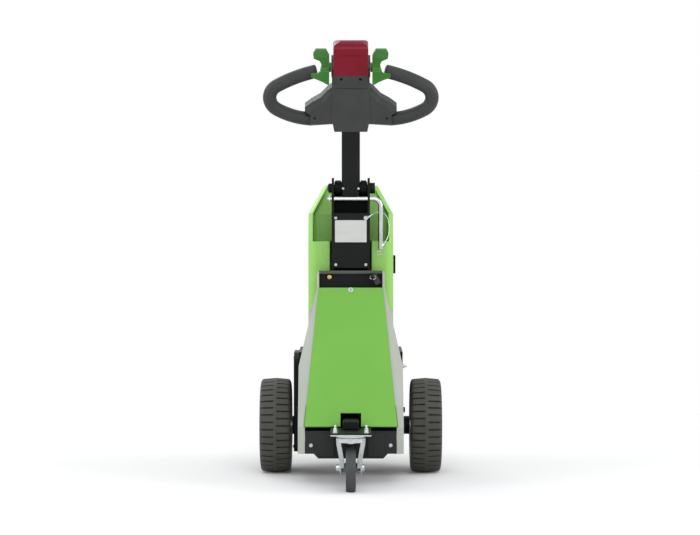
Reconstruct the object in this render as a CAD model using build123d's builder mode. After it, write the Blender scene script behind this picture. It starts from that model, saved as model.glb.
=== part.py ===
"""Electric tow tractor, a compact pedestrian tug.

Millimetres, +Z up, floor at Z = 0. The operator and the caster are at -Y, the tow jaw is at +Y,
and +X is the operator's right when facing the machine's cover. Y places are written from the drive axle.
"""
import os
from math import atan2, cos, degrees, hypot, radians, sin, tan

from build123d import *

os.makedirs("parts", exist_ok=True)

# Clearances
seat_gap = 0.3
shaft_gap = 0.1
panel_gap = 0.5
moving_gap = 5.0

# Drive wheels
tyre_d = 260.0
tyre_w = 85.0
wheel_gap = 7.5
tread_w = 68.0
crown_drop = 3.0
shoulder_h = 18.0
wall_h = 36.0
rim_seat_r = 52.0
rim_flange_r = 61.0
rim_w = 64.0
rim_t = 4.5
hub_r = 30.0
axle_r = 12.4
axle_housing_r = 25.0
axle_nut_r = 18.0
axle_nut_t = 10.0

# Caster
wheelbase = 440.0
caster_d = 125.0
caster_w = 26.0
caster_edge = 2.5
caster_trail = 35.0
caster_h = 155.0
caster_plate_l = 105.0
caster_plate_w = 85.0
caster_plate_t = 3.5
race_r = 36.0
crown_r = 38.0
crown_t = 11.0
race_t = 6.0
fork_t = 3.5
fork_lip_w = 12.0
fork_foot_half = 29.0
fork_eye_r = 18.0
hub_end_r = 9.0
fork_front = 24.0
kingpin_r = 6.0
caster_axle_r = 5.0
caster_hub_r = 42.0

# Chassis and drive
chassis_proud = 2.5
chassis_t = 6.0
chassis_front = 97.0
chassis_back = 115.0
chassis_low = 85.0
chassis_cut = 40.0
deck_z = 333.0
deck_t = 6.0
chain_case_t = 15.0
chain_case_low = 62.0
chain_case_half = 62.0
chain_case_drop = 18.0
chain_case_top = (-30.0, 70.0)
chain_case_back = (92.0, 300.0)
chain_case_round = 14.0
drive_unit_w = 128.0
motor_r = 52.0
motor_l = 190.0
motor_y = 48.0
motor_z = 232.0
gearbox_y = 12.0
gearbox_up = 8.0
gearbox_l = 110.0
gearbox_h = 116.0
gearbox_round = 14.0

# Tow jaw
jaw_reach = 90.0
jaw_w = 80.0
jaw_flange_w = 25.0
jaw_flange_h = 15.0
jaw_flange_round = 8.0
jaw_t = 12.0
jaw_gap = 40.0
jaw_z = 230.0
jaw_pin_r = 10.5
jaw_pin_inset = 40.0

# Sloped body
body_w = 277.0
body_low = 90.0
sheet_t = 2.5
slope_foot = (-338.0, 160.0)
slope_head = (-104.0, 514.0)
lean_z = 312.0
ear_inset = 46.5
ear_z = 558.0
ear_round = 10.0
ear_front = -98.0
body_back = -56.0
flange_w = 18.0
ear_flange_w = 6.0

# Battery cover
cover_foot_inset = 16.5
cover_head_inset = 4.0
cover_t = 3.0
cover_bevel = 2.0
cover_lap = 8.0
cover_gap = 3.0
relief_h = 10.0
cover_lip = 14.0
hinge_up = 54.0
hinge_in = 5.0
hinge_r = 4.0
hinge_lug_r = 8.0
hinge_lug_t = 6.0
notch_w = 54.0
notch_h = 40.0
cover_lock_r = 5.0
cover_lock_rim = 2.0
cover_lock_inset = 9.0

# Tray, front panel, battery and caster beam
tray_t = 3.0
tray_floor = 77.5
trough_inset = 23.0
trough_fold = 12.0
panel_inset = 18.5
panel_top = 150.0
lobe_in = 42.0
lobe_out = 84.0
lobe_t = 4.0
lobe_taper = 30.0
battery_gap = 14.0
battery_l = 150.0
battery_h = 140.0
battery_front = -240.0
beam_w = 42.0
beam_h = 22.0
beam_front = -390.0
beam_back = -275.0
beam_cap_t = 6.0
beam_plate_t = 4.0

# Mast
mast_w = 104.0
mast_t = 6.0
mast_front = -81.0
mast_back = 20.0
mast_top = 812.0
mast_back_top = 790.0
mast_shoulder_l = 22.0
mast_shoulder_h = 6.0
mast_cover_t = 3.0
mast_cover_low = 567.0
mast_cover_top = 716.0
pivot_y = -35.0
pivot_z = 784.0
pivot_r = 10.0
pin_r = 6.2
pin_z = 755.0
pin_left = 63.0
pin_right = 81.0
pin_low = 618.0
pin_bend_r = 20.0
lanyard_r = 1.0
ferrule_r = 2.5
ferrule_l = 10.0

# Console
bar_y = -93.0
bar_r = 5.0
console_t = 2.0
console_lap = 6.0
key_inset = 27.7
key_z = 537.5
key_r = 11.0
key_bezel_l = 7.0
key_blade_t = 2.4
key_blade_h = 8.0
key_blade_l = 4.0
key_bow_r = 11.0
key_bow_t = 4.0
key_eye_r = 3.0
lamp_z = 542.5
lamp_r = 6.5
lamp_l = 8.0
lamp_round = 3.0

# Rear housing and hood
hood_w = 233.0
hood_front = -55.0
hood_back = 115.0
hood_t = 3.0
hood_corner_r = 22.0
hood_rim_w = 13.0
wing_front = -10.0
housing_top = 450.0
ledge_z = 639.0
upper_front = 25.0
shoulder_z = 714.0
hood_top = 790.0
hood_top_w = 150.0
hood_top_front = 60.0
mast_slot = 5.0
flap_y = 35.0
flap_z = 573.0
flap_l = 46.0
flap_h = 50.0
flap_t = 7.0

# Tiller
arm_w = 50.0
arm_t = 3.0
arm_low = 749.0
boss_r = 18.0
head_z = 949.0
head_lean = 25.0
head_w = 102.0
head_t = 56.0
head_l = 164.0
head_foot_w = 90.0
head_taper_l = 30.0
cheek_t = 46.0
cheek_w = 224.0
cheek_low = 16.0
cheek_lift = 2.5
cheek_root = 132.0
cheek_tip = 51.0
cheek_tip_x = 125.0
cheek_edge = ((62.0, 116.0), (82.0, 94.0), (106.0, 80.0), (125.0, 65.0))
cheek_facet = 12.0
seam_along = 127.0
seam_w = 1.6
seam_depth = 1.2
screw_hole_x = 26.0
screw_hole_along = 154.0
screw_hole_r = 4.0
horn_along = 124.0
horn_r = 11.0
pad_x = 74.0
pad_along = 75.0
pad_w = 34.0
pad_h = 18.0
pad_t = 4.0
button_w = 94.0
button_l = 90.0
button_crown = 8.0
button_round = 12.0
ear_plate_t = 5.0
ear_plate_l = 44.0
grip_r = 18.5
grip_low = 27.0
grip_rise = 4.0
grip_low_r = 200.0
grip_low_bend = 27.0
grip_bend_r = 40.0
grip_bend = 119.0
grip_top_r = 400.0
grip_top_l = 117.286
grip_end_round = 6.0
button_line_w = 54.0
button_line_along = 222.0
lever_t = 9.0
lever_along = 178.0
lever_in = 58.0
lever_ear = 107.0
lever_round = 3.0
lever_bend_r = 9.0
lever_boss_r = 13.0
lever_path = ((46.0, -36.0), (20.0, -14.0), (4.0, 2.0), (2.0, 30.0), (-42.0, 38.0))
lever_outline = (
    (0.0, -37.0),
    (18.0, -27.0),
    (32.0, -21.0),
    (49.0, -15.0),
    (49.0, -6.0),
    (30.0, -5.0),
    (23.0, 0.0),
    (21.0, 9.0),
    (26.0, 16.0),
    (42.0, 21.0),
    (44.0, 31.0),
    (38.0, 40.0),
    (9.0, 40.0),
    (0.0, 27.0),
)

# Places that follow from the sizes above
axle_z = tyre_d / 2
front_reach = wheelbase + caster_plate_w / 2
rear_reach = chassis_back + jaw_reach
axle_y = (front_reach - rear_reach) / 2
swivel_y = axle_y - wheelbase
caster_y = swivel_y + caster_trail
caster_z = caster_d / 2
deck_top = deck_z + deck_t
slope_run = slope_head[0] - slope_foot[0]
slope_rise = slope_head[1] - slope_foot[1]
slope_l = hypot(slope_run, slope_rise)
slope_angle = degrees(atan2(slope_rise, slope_run))
lever_hub = button_w / 2 + panel_gap + ear_plate_t + panel_gap
chassis_w = body_w + 2 * chassis_proud
track = chassis_w + 2 * chain_case_t + 2 * wheel_gap + tyre_w
ear_w = body_w - 2 * ear_inset
cover_foot_w = body_w - 2 * cover_foot_inset
cover_head_w = ear_w - 2 * cover_head_inset
panel_w = body_w - 2 * panel_inset
trough_top_w = panel_w - 2 * trough_inset
trough_w = trough_top_w - 2 * trough_fold
battery_w = body_w - 2 * sheet_t - 2 * battery_gap
console_low = slope_head[1] - console_lap
SIDES = ((-1, "left"), (1, "right"))


def save(piece, name):
    """Label a finished piece and write it to its own file."""
    piece.label = name
    export_step(piece, f"parts/{name}.step")


def at(y):
    """Y in the part's frame of a place measured from the drive axle."""
    return axle_y + y


def facing(y):
    """Plane across the machine at a Y from the axle, X right, Z up, facing the operator."""
    return Plane(origin=(0, at(y), 0), x_dir=(1, 0, 0), z_dir=(0, -1, 0))


def across(x):
    """Plane along the machine at a given X, Y to the right, Z up, facing +X."""
    return Plane.YZ.offset(x)


def wheel_plane(side, half_track, y, z):
    """Plane through a wheel's axis, X outboard and Y up."""
    return Plane(origin=(side * half_track, y, z), x_dir=(side, 0, 0), z_dir=(0, -side, 0))


cover_plane = Plane(
    origin=(0, at(slope_foot[0]), slope_foot[1]),
    x_dir=(1, 0, 0),
    z_dir=(0, -sin(radians(slope_angle)), cos(radians(slope_angle))),
)
hinge = cover_plane.from_local_coords(Vector(0, hinge_up, -hinge_in))
head_plane = Plane(
    origin=(0, at(pivot_y), head_z),
    x_dir=(1, 0, 0),
    z_dir=(0, -cos(radians(head_lean)), -sin(radians(head_lean))),
)


# Drive wheels: tyre, rim and stub axle on each side
axle_line = Axis((0, axle_y, axle_z), (1, 0, 0))
hub_in = -rim_w / 2 - 2
hub_out = 20.0
for side, name in SIDES:
    wheel = wheel_plane(side, track / 2, axle_y, axle_z)

    with BuildPart() as tyre:
        with BuildSketch(wheel):
            with BuildLine():
                bead_x = rim_w / 2 - rim_t - seat_gap
                bead_r = rim_seat_r + seat_gap
                side_r = rim_flange_r + seat_gap
                shoulder_r = tyre_d / 2 - crown_drop
                Polyline((0, bead_r), (bead_x, bead_r), (bead_x, side_r), (rim_w / 2 + 2, side_r))
                TangentArc((tyre_w / 2, side_r + wall_h), (rim_w / 2 + 2, side_r), tangent=(0, -1))
                Line((tyre_w / 2, side_r + wall_h), (tyre_w / 2, shoulder_r - shoulder_h))
                TangentArc(
                    (tyre_w / 2, shoulder_r - shoulder_h), (tread_w / 2, shoulder_r), tangent=(0, 1)
                )
                Line((tread_w / 2, shoulder_r), (0, tyre_d / 2))
                mirror(about=Plane.YZ)
            make_face()
        revolve(axis=axle_line)
    save(tyre.part, f"tyre_{name}")

    with BuildPart() as rim:
        with BuildSketch(wheel):
            with BuildLine():
                Polyline(
                    (-rim_w / 2, rim_flange_r),
                    (-rim_w / 2 + rim_t, rim_flange_r),
                    (-rim_w / 2 + rim_t, rim_seat_r),
                    (rim_w / 2 - rim_t, rim_seat_r),
                    (rim_w / 2 - rim_t, rim_flange_r),
                    (rim_w / 2, rim_flange_r),
                    (rim_w / 2, rim_seat_r - rim_t),
                    (rim_t * 2, rim_seat_r - rim_t),
                    (rim_t * 2, hub_r),
                    (hub_out, hub_r),
                    (hub_out, axle_r + shaft_gap),
                    (hub_in, axle_r + shaft_gap),
                    (hub_in, hub_r),
                    (rim_t, hub_r),
                    (rim_t, rim_seat_r - rim_t),
                    (-rim_w / 2, rim_seat_r - rim_t),
                    close=True,
                )
            make_face()
        revolve(axis=axle_line)
    save(rim.part, f"rim_{name}")

    with BuildPart() as stub:
        shaft_in = drive_unit_w / 2 + moving_gap - track / 2
        with BuildSketch(wheel):
            with BuildLine():
                Polyline(
                    (shaft_in, 0),
                    (shaft_in, axle_r),
                    (hub_out, axle_r),
                    (hub_out, axle_nut_r),
                    (hub_out + axle_nut_t, axle_nut_r),
                    (hub_out + axle_nut_t, 0),
                    close=True,
                )
            make_face()
        revolve(axis=axle_line)
    save(stub.part, f"stub_axle_{name}")


# Axle housing: two bearing tubes out of the drive unit
housing_out = track / 2 + hub_in - moving_gap - 6
with BuildPart() as axle_housing:
    for side, name in SIDES:
        with BuildSketch(across(side * drive_unit_w / 2)):
            with Locations((axle_y, axle_z)):
                Circle(axle_housing_r)
                Circle(axle_r + shaft_gap, mode=Mode.SUBTRACT)
        extrude(amount=side * (housing_out - drive_unit_w / 2))
save(axle_housing.part, "axle_housing")

# Drive unit: gearbox on the axle with the motor above and behind it
with BuildPart() as drive_unit:
    with BuildSketch(across(-drive_unit_w / 2)):
        with Locations((at(gearbox_y), axle_z + gearbox_up)):
            RectangleRounded(gearbox_l, gearbox_h, gearbox_round)
    extrude(amount=drive_unit_w)
    with BuildSketch(across(-motor_l / 2)):
        with Locations((at(motor_y), motor_z)):
            Circle(motor_r)
    extrude(amount=motor_l)
save(drive_unit.part, "drive_unit")

# Chassis: two side plates, the deck on top and the rear plate between them
for side, name in SIDES:
    with BuildPart() as chassis_plate:
        with BuildSketch(across(side * chassis_w / 2)):
            with BuildLine():
                Polyline(
                    (at(-chassis_front), chassis_low),
                    (at(-chassis_front), deck_z),
                    (at(chassis_back), deck_z),
                    (at(chassis_back), chassis_low + chassis_cut),
                    (at(chassis_back) - chassis_cut, chassis_low),
                    close=True,
                )
            make_face()
            with Locations((axle_y, axle_z)):
                Circle(axle_housing_r + shaft_gap, mode=Mode.SUBTRACT)
        extrude(amount=-side * chassis_t)
    save(chassis_plate.part, f"chassis_plate_{name}")

with BuildPart() as deck:
    with BuildSketch(Plane.XY.offset(deck_z)):
        with Locations((0, at((chassis_back - chassis_front) / 2))):
            Rectangle(chassis_w, chassis_back + chassis_front)
    extrude(amount=deck_t)
save(deck.part, "chassis_deck")

with BuildPart() as rear_plate:
    with BuildSketch(facing(chassis_back)):
        with Locations((0, (deck_z + chassis_low + chassis_cut) / 2)):
            Rectangle(chassis_w - 2 * chassis_t, deck_z - chassis_low - chassis_cut)
    extrude(amount=chassis_t)
save(rear_plate.part, "chassis_rear_plate")

# Tow jaw: a back plate with two round-nosed ears and one pin bore through both
pin_y = chassis_back + jaw_reach - jaw_pin_inset
jaw_back_t = 10.0
jaw_h = jaw_gap + 2 * jaw_t
with BuildPart() as tow_jaw:
    with BuildSketch(facing(chassis_back)):
        with Locations((0, jaw_z)):
            RectangleRounded(jaw_w + 2 * jaw_flange_w, jaw_h + 2 * jaw_flange_h, jaw_flange_round)
    extrude(amount=-jaw_back_t)
    with BuildSketch(Plane.XY.offset(jaw_z - jaw_h / 2)):
        with Locations((0, at((chassis_back + jaw_back_t + pin_y) / 2))):
            Rectangle(jaw_w, pin_y - chassis_back - jaw_back_t)
        with Locations((0, at(pin_y))):
            Circle(jaw_pin_inset)
    extrude(amount=jaw_h)
    with BuildSketch(Plane.XY.offset(jaw_z - jaw_gap / 2)):
        with Locations((0, at(chassis_back + jaw_back_t + jaw_reach / 2))):
            Rectangle(jaw_w, jaw_reach)
    extrude(amount=jaw_gap, mode=Mode.SUBTRACT)
    with BuildSketch(Plane.XY.offset(jaw_z - jaw_h / 2)):
        with Locations((0, at(pin_y))):
            Circle(jaw_pin_r)
    extrude(amount=jaw_h, mode=Mode.SUBTRACT)
save(tow_jaw.part, "tow_jaw")

# Chain case on the left, outside the chassis plate
with BuildPart() as chain_case:
    with BuildSketch(across(-chassis_w / 2)):
        with BuildLine():
            Polyline(
                (at(-chain_case_half), chain_case_low),
                (at(-chain_case_half), deck_z - chain_case_drop),
                (at(chain_case_top[0]), deck_z),
                (at(chain_case_top[1]), deck_z),
                (at(chain_case_back[0]), chain_case_back[1]),
                (at(chain_case_half), chain_case_low),
                close=True,
            )
        make_face()
        fillet(vertices(), chain_case_round)
        with Locations((axle_y, axle_z)):
            Circle(axle_housing_r + shaft_gap, mode=Mode.SUBTRACT)
    extrude(amount=-chain_case_t)
save(chain_case.part, "chain_case")


# Sloped body: a folded sheet shell cut open in the middle into a left and a right panel
def body_outline():
    """Side outline of the body, in the side plane."""
    Polyline(
        (at(slope_foot[0]), body_low),
        (at(slope_foot[0]), slope_foot[1]),
        (at(slope_head[0]), slope_head[1]),
        (at(ear_front), ear_z),
        (at(body_back), ear_z),
        (at(body_back), deck_top),
        (at(-chassis_front) - panel_gap, deck_top),
        (at(-chassis_front) - panel_gap, body_low),
        close=True,
    )


def body_front(inset):
    """Front outline of the body, from below its foot to the top of its ears."""
    Polyline(
        (-body_w / 2 + inset, body_low - 10),
        (-body_w / 2 + inset, lean_z),
        (-ear_w / 2 + inset, slope_head[1]),
        (-ear_w / 2 + inset, ear_z),
        (ear_w / 2 - inset, ear_z),
        (ear_w / 2 - inset, slope_head[1]),
        (body_w / 2 - inset, lean_z),
        (body_w / 2 - inset, body_low - 10),
        close=True,
    )


def cover_half(z):
    """Half width of the battery cover at a height."""
    part_up = (z - slope_foot[1]) / slope_rise
    return (cover_foot_w + (cover_head_w - cover_foot_w) * part_up) / 2


relief_z = hinge.Z + relief_h
with BuildPart() as body_inside:
    with BuildSketch(across(0)):
        with BuildLine():
            body_outline()
        make_face()
        offset(amount=-sheet_t, kind=Kind.INTERSECTION, mode=Mode.REPLACE)
    extrude(amount=body_w / 2, both=True)
    with BuildSketch(facing(body_back)):
        with BuildLine():
            body_front(sheet_t)
        make_face()
        fillet(vertices().group_by(Axis.Y)[-1], ear_round - sheet_t)
    extrude(amount=-slope_foot[0], mode=Mode.INTERSECT)

with BuildPart() as body_shell:
    with BuildSketch(across(0)):
        with BuildLine():
            body_outline()
        make_face()
    extrude(amount=body_w / 2, both=True)
    with BuildSketch(facing(body_back)):
        with BuildLine():
            body_front(0)
        make_face()
        fillet(vertices().group_by(Axis.Y)[-1], ear_round)
    extrude(amount=-slope_foot[0], mode=Mode.INTERSECT)
    add(body_inside.part, mode=Mode.SUBTRACT)
    # Opening for the front panel, the cover and the console, with relief beside the cover's foot
    with BuildSketch(facing(body_back)):
        with BuildLine():
            Polyline(
                (0, body_low - 10),
                (panel_w / 2 + seat_gap, body_low - 10),
                (panel_w / 2 + seat_gap, slope_foot[1]),
                (cover_half(slope_foot[1]) + cover_gap, slope_foot[1]),
                (cover_half(relief_z) + cover_gap, relief_z),
                (cover_half(relief_z) - cover_lap, relief_z),
                (cover_half(slope_head[1]) - cover_lap, slope_head[1]),
                (ear_w / 2 - ear_flange_w, slope_head[1]),
                (ear_w / 2 - ear_flange_w, ear_z + 10),
                (0, ear_z + 10),
            )
            mirror(about=Plane.YZ)
        make_face()
    extrude(amount=-slope_foot[0], mode=Mode.SUBTRACT)
    # Open foot and open back edge, where the tray and the chassis plates stand
    with BuildSketch(across(0)):
        with BuildLine():
            Polyline(
                (at(slope_foot[0]) + sheet_t, body_low - 10),
                (at(slope_foot[0]) + sheet_t, body_low + flange_w),
                (at(-chassis_front) - 2 * sheet_t, body_low + flange_w),
                (at(-chassis_front) - 2 * sheet_t, deck_top),
                (at(-chassis_front), deck_top),
                (at(-chassis_front), body_low - 10),
                close=True,
            )
        make_face()
    extrude(amount=body_w / 2 - sheet_t, both=True, mode=Mode.SUBTRACT)
    with BuildSketch(across(0)):
        with Locations((hinge.Y, hinge.Z)):
            Circle(hinge_r + shaft_gap)
    extrude(amount=body_w / 2, both=True, mode=Mode.SUBTRACT)
for (side, name), panel in zip(SIDES, body_shell.part.solids().sort_by(Axis.X)):
    save(panel, f"side_panel_{name}")

# Hinge bolts of the cover, one through each side panel
lug_x = cover_half(hinge.Z) - cover_lap - moving_gap - hinge_lug_t
with BuildPart() as hinge_bolts:
    for side, name in SIDES:
        with BuildSketch(across(side * lug_x)):
            with Locations((hinge.Y, hinge.Z)):
                Circle(hinge_r)
        extrude(amount=side * (body_w / 2 - lug_x))
        with BuildSketch(across(side * body_w / 2)):
            with Locations((hinge.Y, hinge.Z)):
                Circle(hinge_r * 1.8)
        extrude(amount=side * hinge_r)
save(hinge_bolts.part, "cover_hinge_bolts")

# Battery cover: folded sheet with a top lip, a notch over the beam and two hinge lugs
lock_up = slope_l - cover_lock_inset
with BuildPart() as cover:
    with BuildSketch(cover_plane.offset(seat_gap)):
        with BuildLine():
            Polyline(
                (-cover_foot_w / 2, 0),
                (-cover_head_w / 2, slope_l),
                (cover_head_w / 2, slope_l),
                (cover_foot_w / 2, 0),
                close=True,
            )
        make_face()
        fillet(vertices(), 4)
        with Locations((0, notch_h / 2)):
            Rectangle(notch_w, notch_h, mode=Mode.SUBTRACT)
        with Locations((0, lock_up)):
            Circle(cover_lock_r + shaft_gap, mode=Mode.SUBTRACT)
    extrude(amount=cover_t)
    outer = faces().sort_by(Axis((0, 0, 0), cover_plane.z_dir))[-1]
    chamfer(outer.edges().sort_by(SortBy.LENGTH)[-2:], cover_bevel)
    with BuildSketch(cover_plane.offset(seat_gap)):
        with Locations((0, slope_l - cover_t / 2)):
            Rectangle(cover_head_w - 2 * cover_lap - 2 * moving_gap, cover_t)
    extrude(amount=-cover_lip / 2)
    for side, name in SIDES:
        lug_plane = Plane(
            origin=(side * lug_x, hinge.Y, hinge.Z),
            x_dir=cover_plane.y_dir,
            z_dir=(1, 0, 0),
        )
        with BuildSketch(lug_plane):
            Circle(hinge_lug_r)
            with Locations((0, (hinge_in + seat_gap + cover_t / 2) / 2)):
                Rectangle(2 * hinge_lug_r, hinge_in + seat_gap + cover_t / 2)
            Circle(hinge_r + shaft_gap, mode=Mode.SUBTRACT)
        extrude(amount=side * hinge_lug_t)
save(cover.part, "battery_cover")

with BuildPart() as cover_lock:
    with BuildSketch(cover_plane.offset(seat_gap + cover_t)):
        with Locations((0, lock_up)):
            Circle(cover_lock_r + cover_lock_rim)
    extrude(amount=2.0)
    with BuildSketch(cover_plane.offset(seat_gap + cover_t)):
        with Locations((0, lock_up)):
            Circle(cover_lock_r)
    extrude(amount=-cover_t - 12)
save(cover_lock.part, "cover_lock")


# Battery tray: a folded trough; the front panel closes its end
def trough(rise, half_w):
    """Trough section: floor, two sloped sides and two wings, open upwards."""
    Polyline(
        (-half_w, body_low + rise),
        (-trough_top_w / 2, body_low + rise),
        (-trough_w / 2, tray_floor + rise),
        (trough_w / 2, tray_floor + rise),
        (trough_top_w / 2, body_low + rise),
        (half_w, body_low + rise),
    )


tray_half = chassis_w / 2 - chassis_t - seat_gap
tray_back = -60.0
with BuildPart() as tray:
    with BuildSketch(facing(tray_back)):
        with BuildLine():
            trough(0, tray_half)
            Line((tray_half, body_low), (tray_half, body_low + tray_t))
            trough(tray_t, tray_half)
            Line((-tray_half, body_low + tray_t), (-tray_half, body_low))
        make_face()
    extrude(amount=tray_back - slope_foot[0] - tray_t)
save(tray.part, "battery_tray")

beam_low = caster_h + beam_plate_t
with BuildPart() as front_panel:
    with BuildSketch(facing(slope_foot[0] + tray_t)):
        with BuildLine():
            trough(0, panel_w / 2)
            Polyline(
                (panel_w / 2, body_low),
                (panel_w / 2, panel_top),
                (-panel_w / 2, panel_top),
                (-panel_w / 2, body_low),
            )
        make_face()
        with Locations((0, (panel_top + beam_low) / 2)):
            Rectangle(beam_w, beam_low - panel_top)
    extrude(amount=tray_t)
    for side, name in SIDES:
        with BuildSketch(facing(slope_foot[0])):
            with BuildLine():
                Polyline(
                    (side * lobe_in, tray_floor + lobe_t),
                    (side * lobe_out, tray_floor + lobe_t),
                    (side * (lobe_out + lobe_t), body_low + lobe_t),
                    (side * (lobe_out + lobe_t), panel_top - lobe_t),
                    (side * lobe_in, panel_top - lobe_t),
                    close=True,
                )
            make_face()
        extrude(amount=lobe_t, taper=lobe_taper)
save(front_panel.part, "front_panel")

with BuildPart() as battery:
    with BuildSketch(facing(battery_front + battery_l)):
        with Locations((0, body_low + tray_t + battery_h / 2)):
            RectangleRounded(battery_w, battery_h, 6)
    extrude(amount=battery_l)
save(battery.part, "battery_block")

# Caster beam: square tube welded on the caster's mounting plate
with BuildPart() as beam:
    with BuildSketch(facing(beam_back)):
        with Locations((0, beam_low + beam_h / 2)):
            RectangleRounded(beam_w, beam_h, 5)
            RectangleRounded(beam_w - 6, beam_h - 6, 2.5, mode=Mode.SUBTRACT)
    extrude(amount=beam_back - beam_front)
    with BuildSketch(Plane.XY.offset(caster_h)):
        with BuildLine():
            Polyline(
                (-caster_plate_l / 2, at(-front_reach)),
                (caster_plate_l / 2, at(-front_reach)),
                (caster_plate_l / 2, at(slope_foot[0]) - seat_gap),
                (-caster_plate_l / 2, at(slope_foot[0]) - seat_gap),
                close=True,
            )
        make_face()
    extrude(amount=beam_plate_t)
save(beam.part, "caster_beam")

with BuildPart() as beam_cap:
    with BuildSketch(facing(beam_front)):
        with Locations((0, beam_low + beam_h / 2)):
            RectangleRounded(beam_w, beam_h, 5)
    extrude(amount=beam_cap_t)
    fillet(beam_cap.faces().sort_by(Axis.Y)[0].edges(), 3)
save(beam_cap.part, "beam_end_cap")

# Caster: fixed plate with its upper race and kingpin
race_low = caster_h - caster_plate_t - race_t
crown_top = race_low - 1
kingpin_head = 4.0
with BuildPart() as caster_plate:
    with BuildSketch(Plane.XY.offset(caster_h - caster_plate_t)):
        with Locations((0, swivel_y)):
            RectangleRounded(caster_plate_l, caster_plate_w, 8)
    extrude(amount=caster_plate_t)
    with BuildSketch(Plane.XY.offset(race_low)):
        with Locations((0, swivel_y)):
            Circle(race_r)
    extrude(amount=race_t)
    with BuildSketch(Plane.XY.offset(crown_top - crown_t - kingpin_head)):
        with Locations((0, swivel_y)):
            Circle(kingpin_r)
    extrude(amount=crown_t + kingpin_head + 2)
    with BuildSketch(Plane.XY.offset(crown_top - crown_t - kingpin_head - 1)):
        with Locations((0, swivel_y)):
            Circle(kingpin_r + 4)
    extrude(amount=kingpin_head)
save(caster_plate.part, "caster_plate")

# Caster fork: crown with two pressed legs, each with a lip turned in along its front edge
leg_top = crown_r - 1
leg_in = fork_foot_half - fork_t
leg_low = caster_z - fork_eye_r
leg_knee = caster_z + 20
leg_front = swivel_y - fork_front


def leg_sections(depth):
    """Both legs seen from the front, as a band of a given width inside their outer line."""
    with BuildSketch(facing(crown_r + caster_trail - wheelbase)) as section:
        with BuildLine():
            Polyline(
                (leg_top, crown_top),
                (leg_top, crown_top - crown_t - fork_t),
                (fork_foot_half, leg_knee),
                (fork_foot_half, leg_low),
                (fork_foot_half - depth, leg_low),
                (fork_foot_half - depth, leg_knee),
                (leg_top - depth, crown_top - crown_t - fork_t),
                (leg_top - depth, crown_top),
                close=True,
            )
        make_face()
        mirror(about=Plane.YZ)
    return section.sketch


def leg_outline():
    """A leg seen from the side."""
    with BuildSketch(across(0)) as section:
        with BuildLine():
            Polyline(
                (leg_front, crown_top),
                (swivel_y + crown_r, crown_top),
                (caster_y + fork_eye_r, caster_z),
                (caster_y, leg_low),
                (caster_y - fork_eye_r, caster_z),
                close=True,
            )
        make_face()
        with Locations((caster_y, caster_z)):
            Circle(fork_eye_r)
    return section.sketch


with BuildPart() as fork_lips:
    extrude(leg_sections(fork_lip_w), amount=2 * crown_r + caster_trail)
    with BuildSketch(across(0)):
        with BuildLine():
            Polyline(
                (leg_front, crown_top),
                (leg_front + fork_t, crown_top),
                (caster_y - fork_eye_r + fork_t, caster_z),
                (caster_y - fork_eye_r, caster_z),
                close=True,
            )
        make_face()
    extrude(amount=crown_r, both=True, mode=Mode.INTERSECT)

with BuildPart() as caster_fork:
    extrude(leg_sections(fork_t), amount=2 * crown_r + caster_trail)
    extrude(leg_outline(), amount=crown_r, both=True, mode=Mode.INTERSECT)
    add(fork_lips.part)
    with BuildSketch(Plane.XY.offset(crown_top - crown_t)):
        with Locations((0, swivel_y)):
            Circle(crown_r)
    extrude(amount=crown_t)
    with BuildSketch(Plane.XY.offset(crown_top - crown_t)):
        with Locations((0, swivel_y)):
            Circle(kingpin_r + shaft_gap)
    extrude(amount=crown_t, mode=Mode.SUBTRACT)
    with BuildSketch(across(0)):
        with Locations((caster_y, caster_z)):
            Circle(caster_axle_r + shaft_gap)
    extrude(amount=crown_r, both=True, mode=Mode.SUBTRACT)
save(caster_fork.part, "caster_fork")

caster_line = Axis((0, caster_y, caster_z), (1, 0, 0))
caster_middle = wheel_plane(1, 0, caster_y, caster_z)
with BuildPart() as caster_axle:
    leg_out = fork_foot_half
    with BuildSketch(caster_middle):
        with BuildLine():
            Polyline(
                (-leg_out - 9, 0),
                (-leg_out - 9, 9),
                (-leg_out, 9),
                (-leg_out, caster_axle_r),
                (leg_out, caster_axle_r),
                (leg_out, 9),
                (leg_out + 6, 9),
                (leg_out + 6, 0),
                close=True,
            )
        make_face()
    revolve(axis=caster_line)
save(caster_axle.part, "caster_axle")

with BuildPart() as caster_hub:
    hub_half = leg_in - 1
    with BuildSketch(caster_middle):
        with BuildLine():
            Polyline(
                (0, caster_axle_r + shaft_gap),
                (hub_half, caster_axle_r + shaft_gap),
                (hub_half, hub_end_r),
                (5, 14),
                (5, caster_hub_r - 6),
                (caster_w / 2 - 1, caster_hub_r - 4),
                (caster_w / 2 - 1, caster_hub_r),
                (0, caster_hub_r),
            )
            mirror(about=Plane.YZ)
        make_face()
    revolve(axis=caster_line)
save(caster_hub.part, "caster_hub")

with BuildPart() as caster_tyre:
    with BuildSketch(caster_middle):
        with BuildLine():
            Polyline(
                (0, caster_hub_r + shaft_gap),
                (caster_w / 2, caster_hub_r + shaft_gap),
                (caster_w / 2, caster_d / 2 - caster_edge),
                (caster_w / 2 - caster_edge, caster_d / 2),
                (0, caster_d / 2),
            )
            mirror(about=Plane.YZ)
        make_face()
    revolve(axis=caster_line)
save(caster_tyre.part, "caster_tyre")

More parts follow.
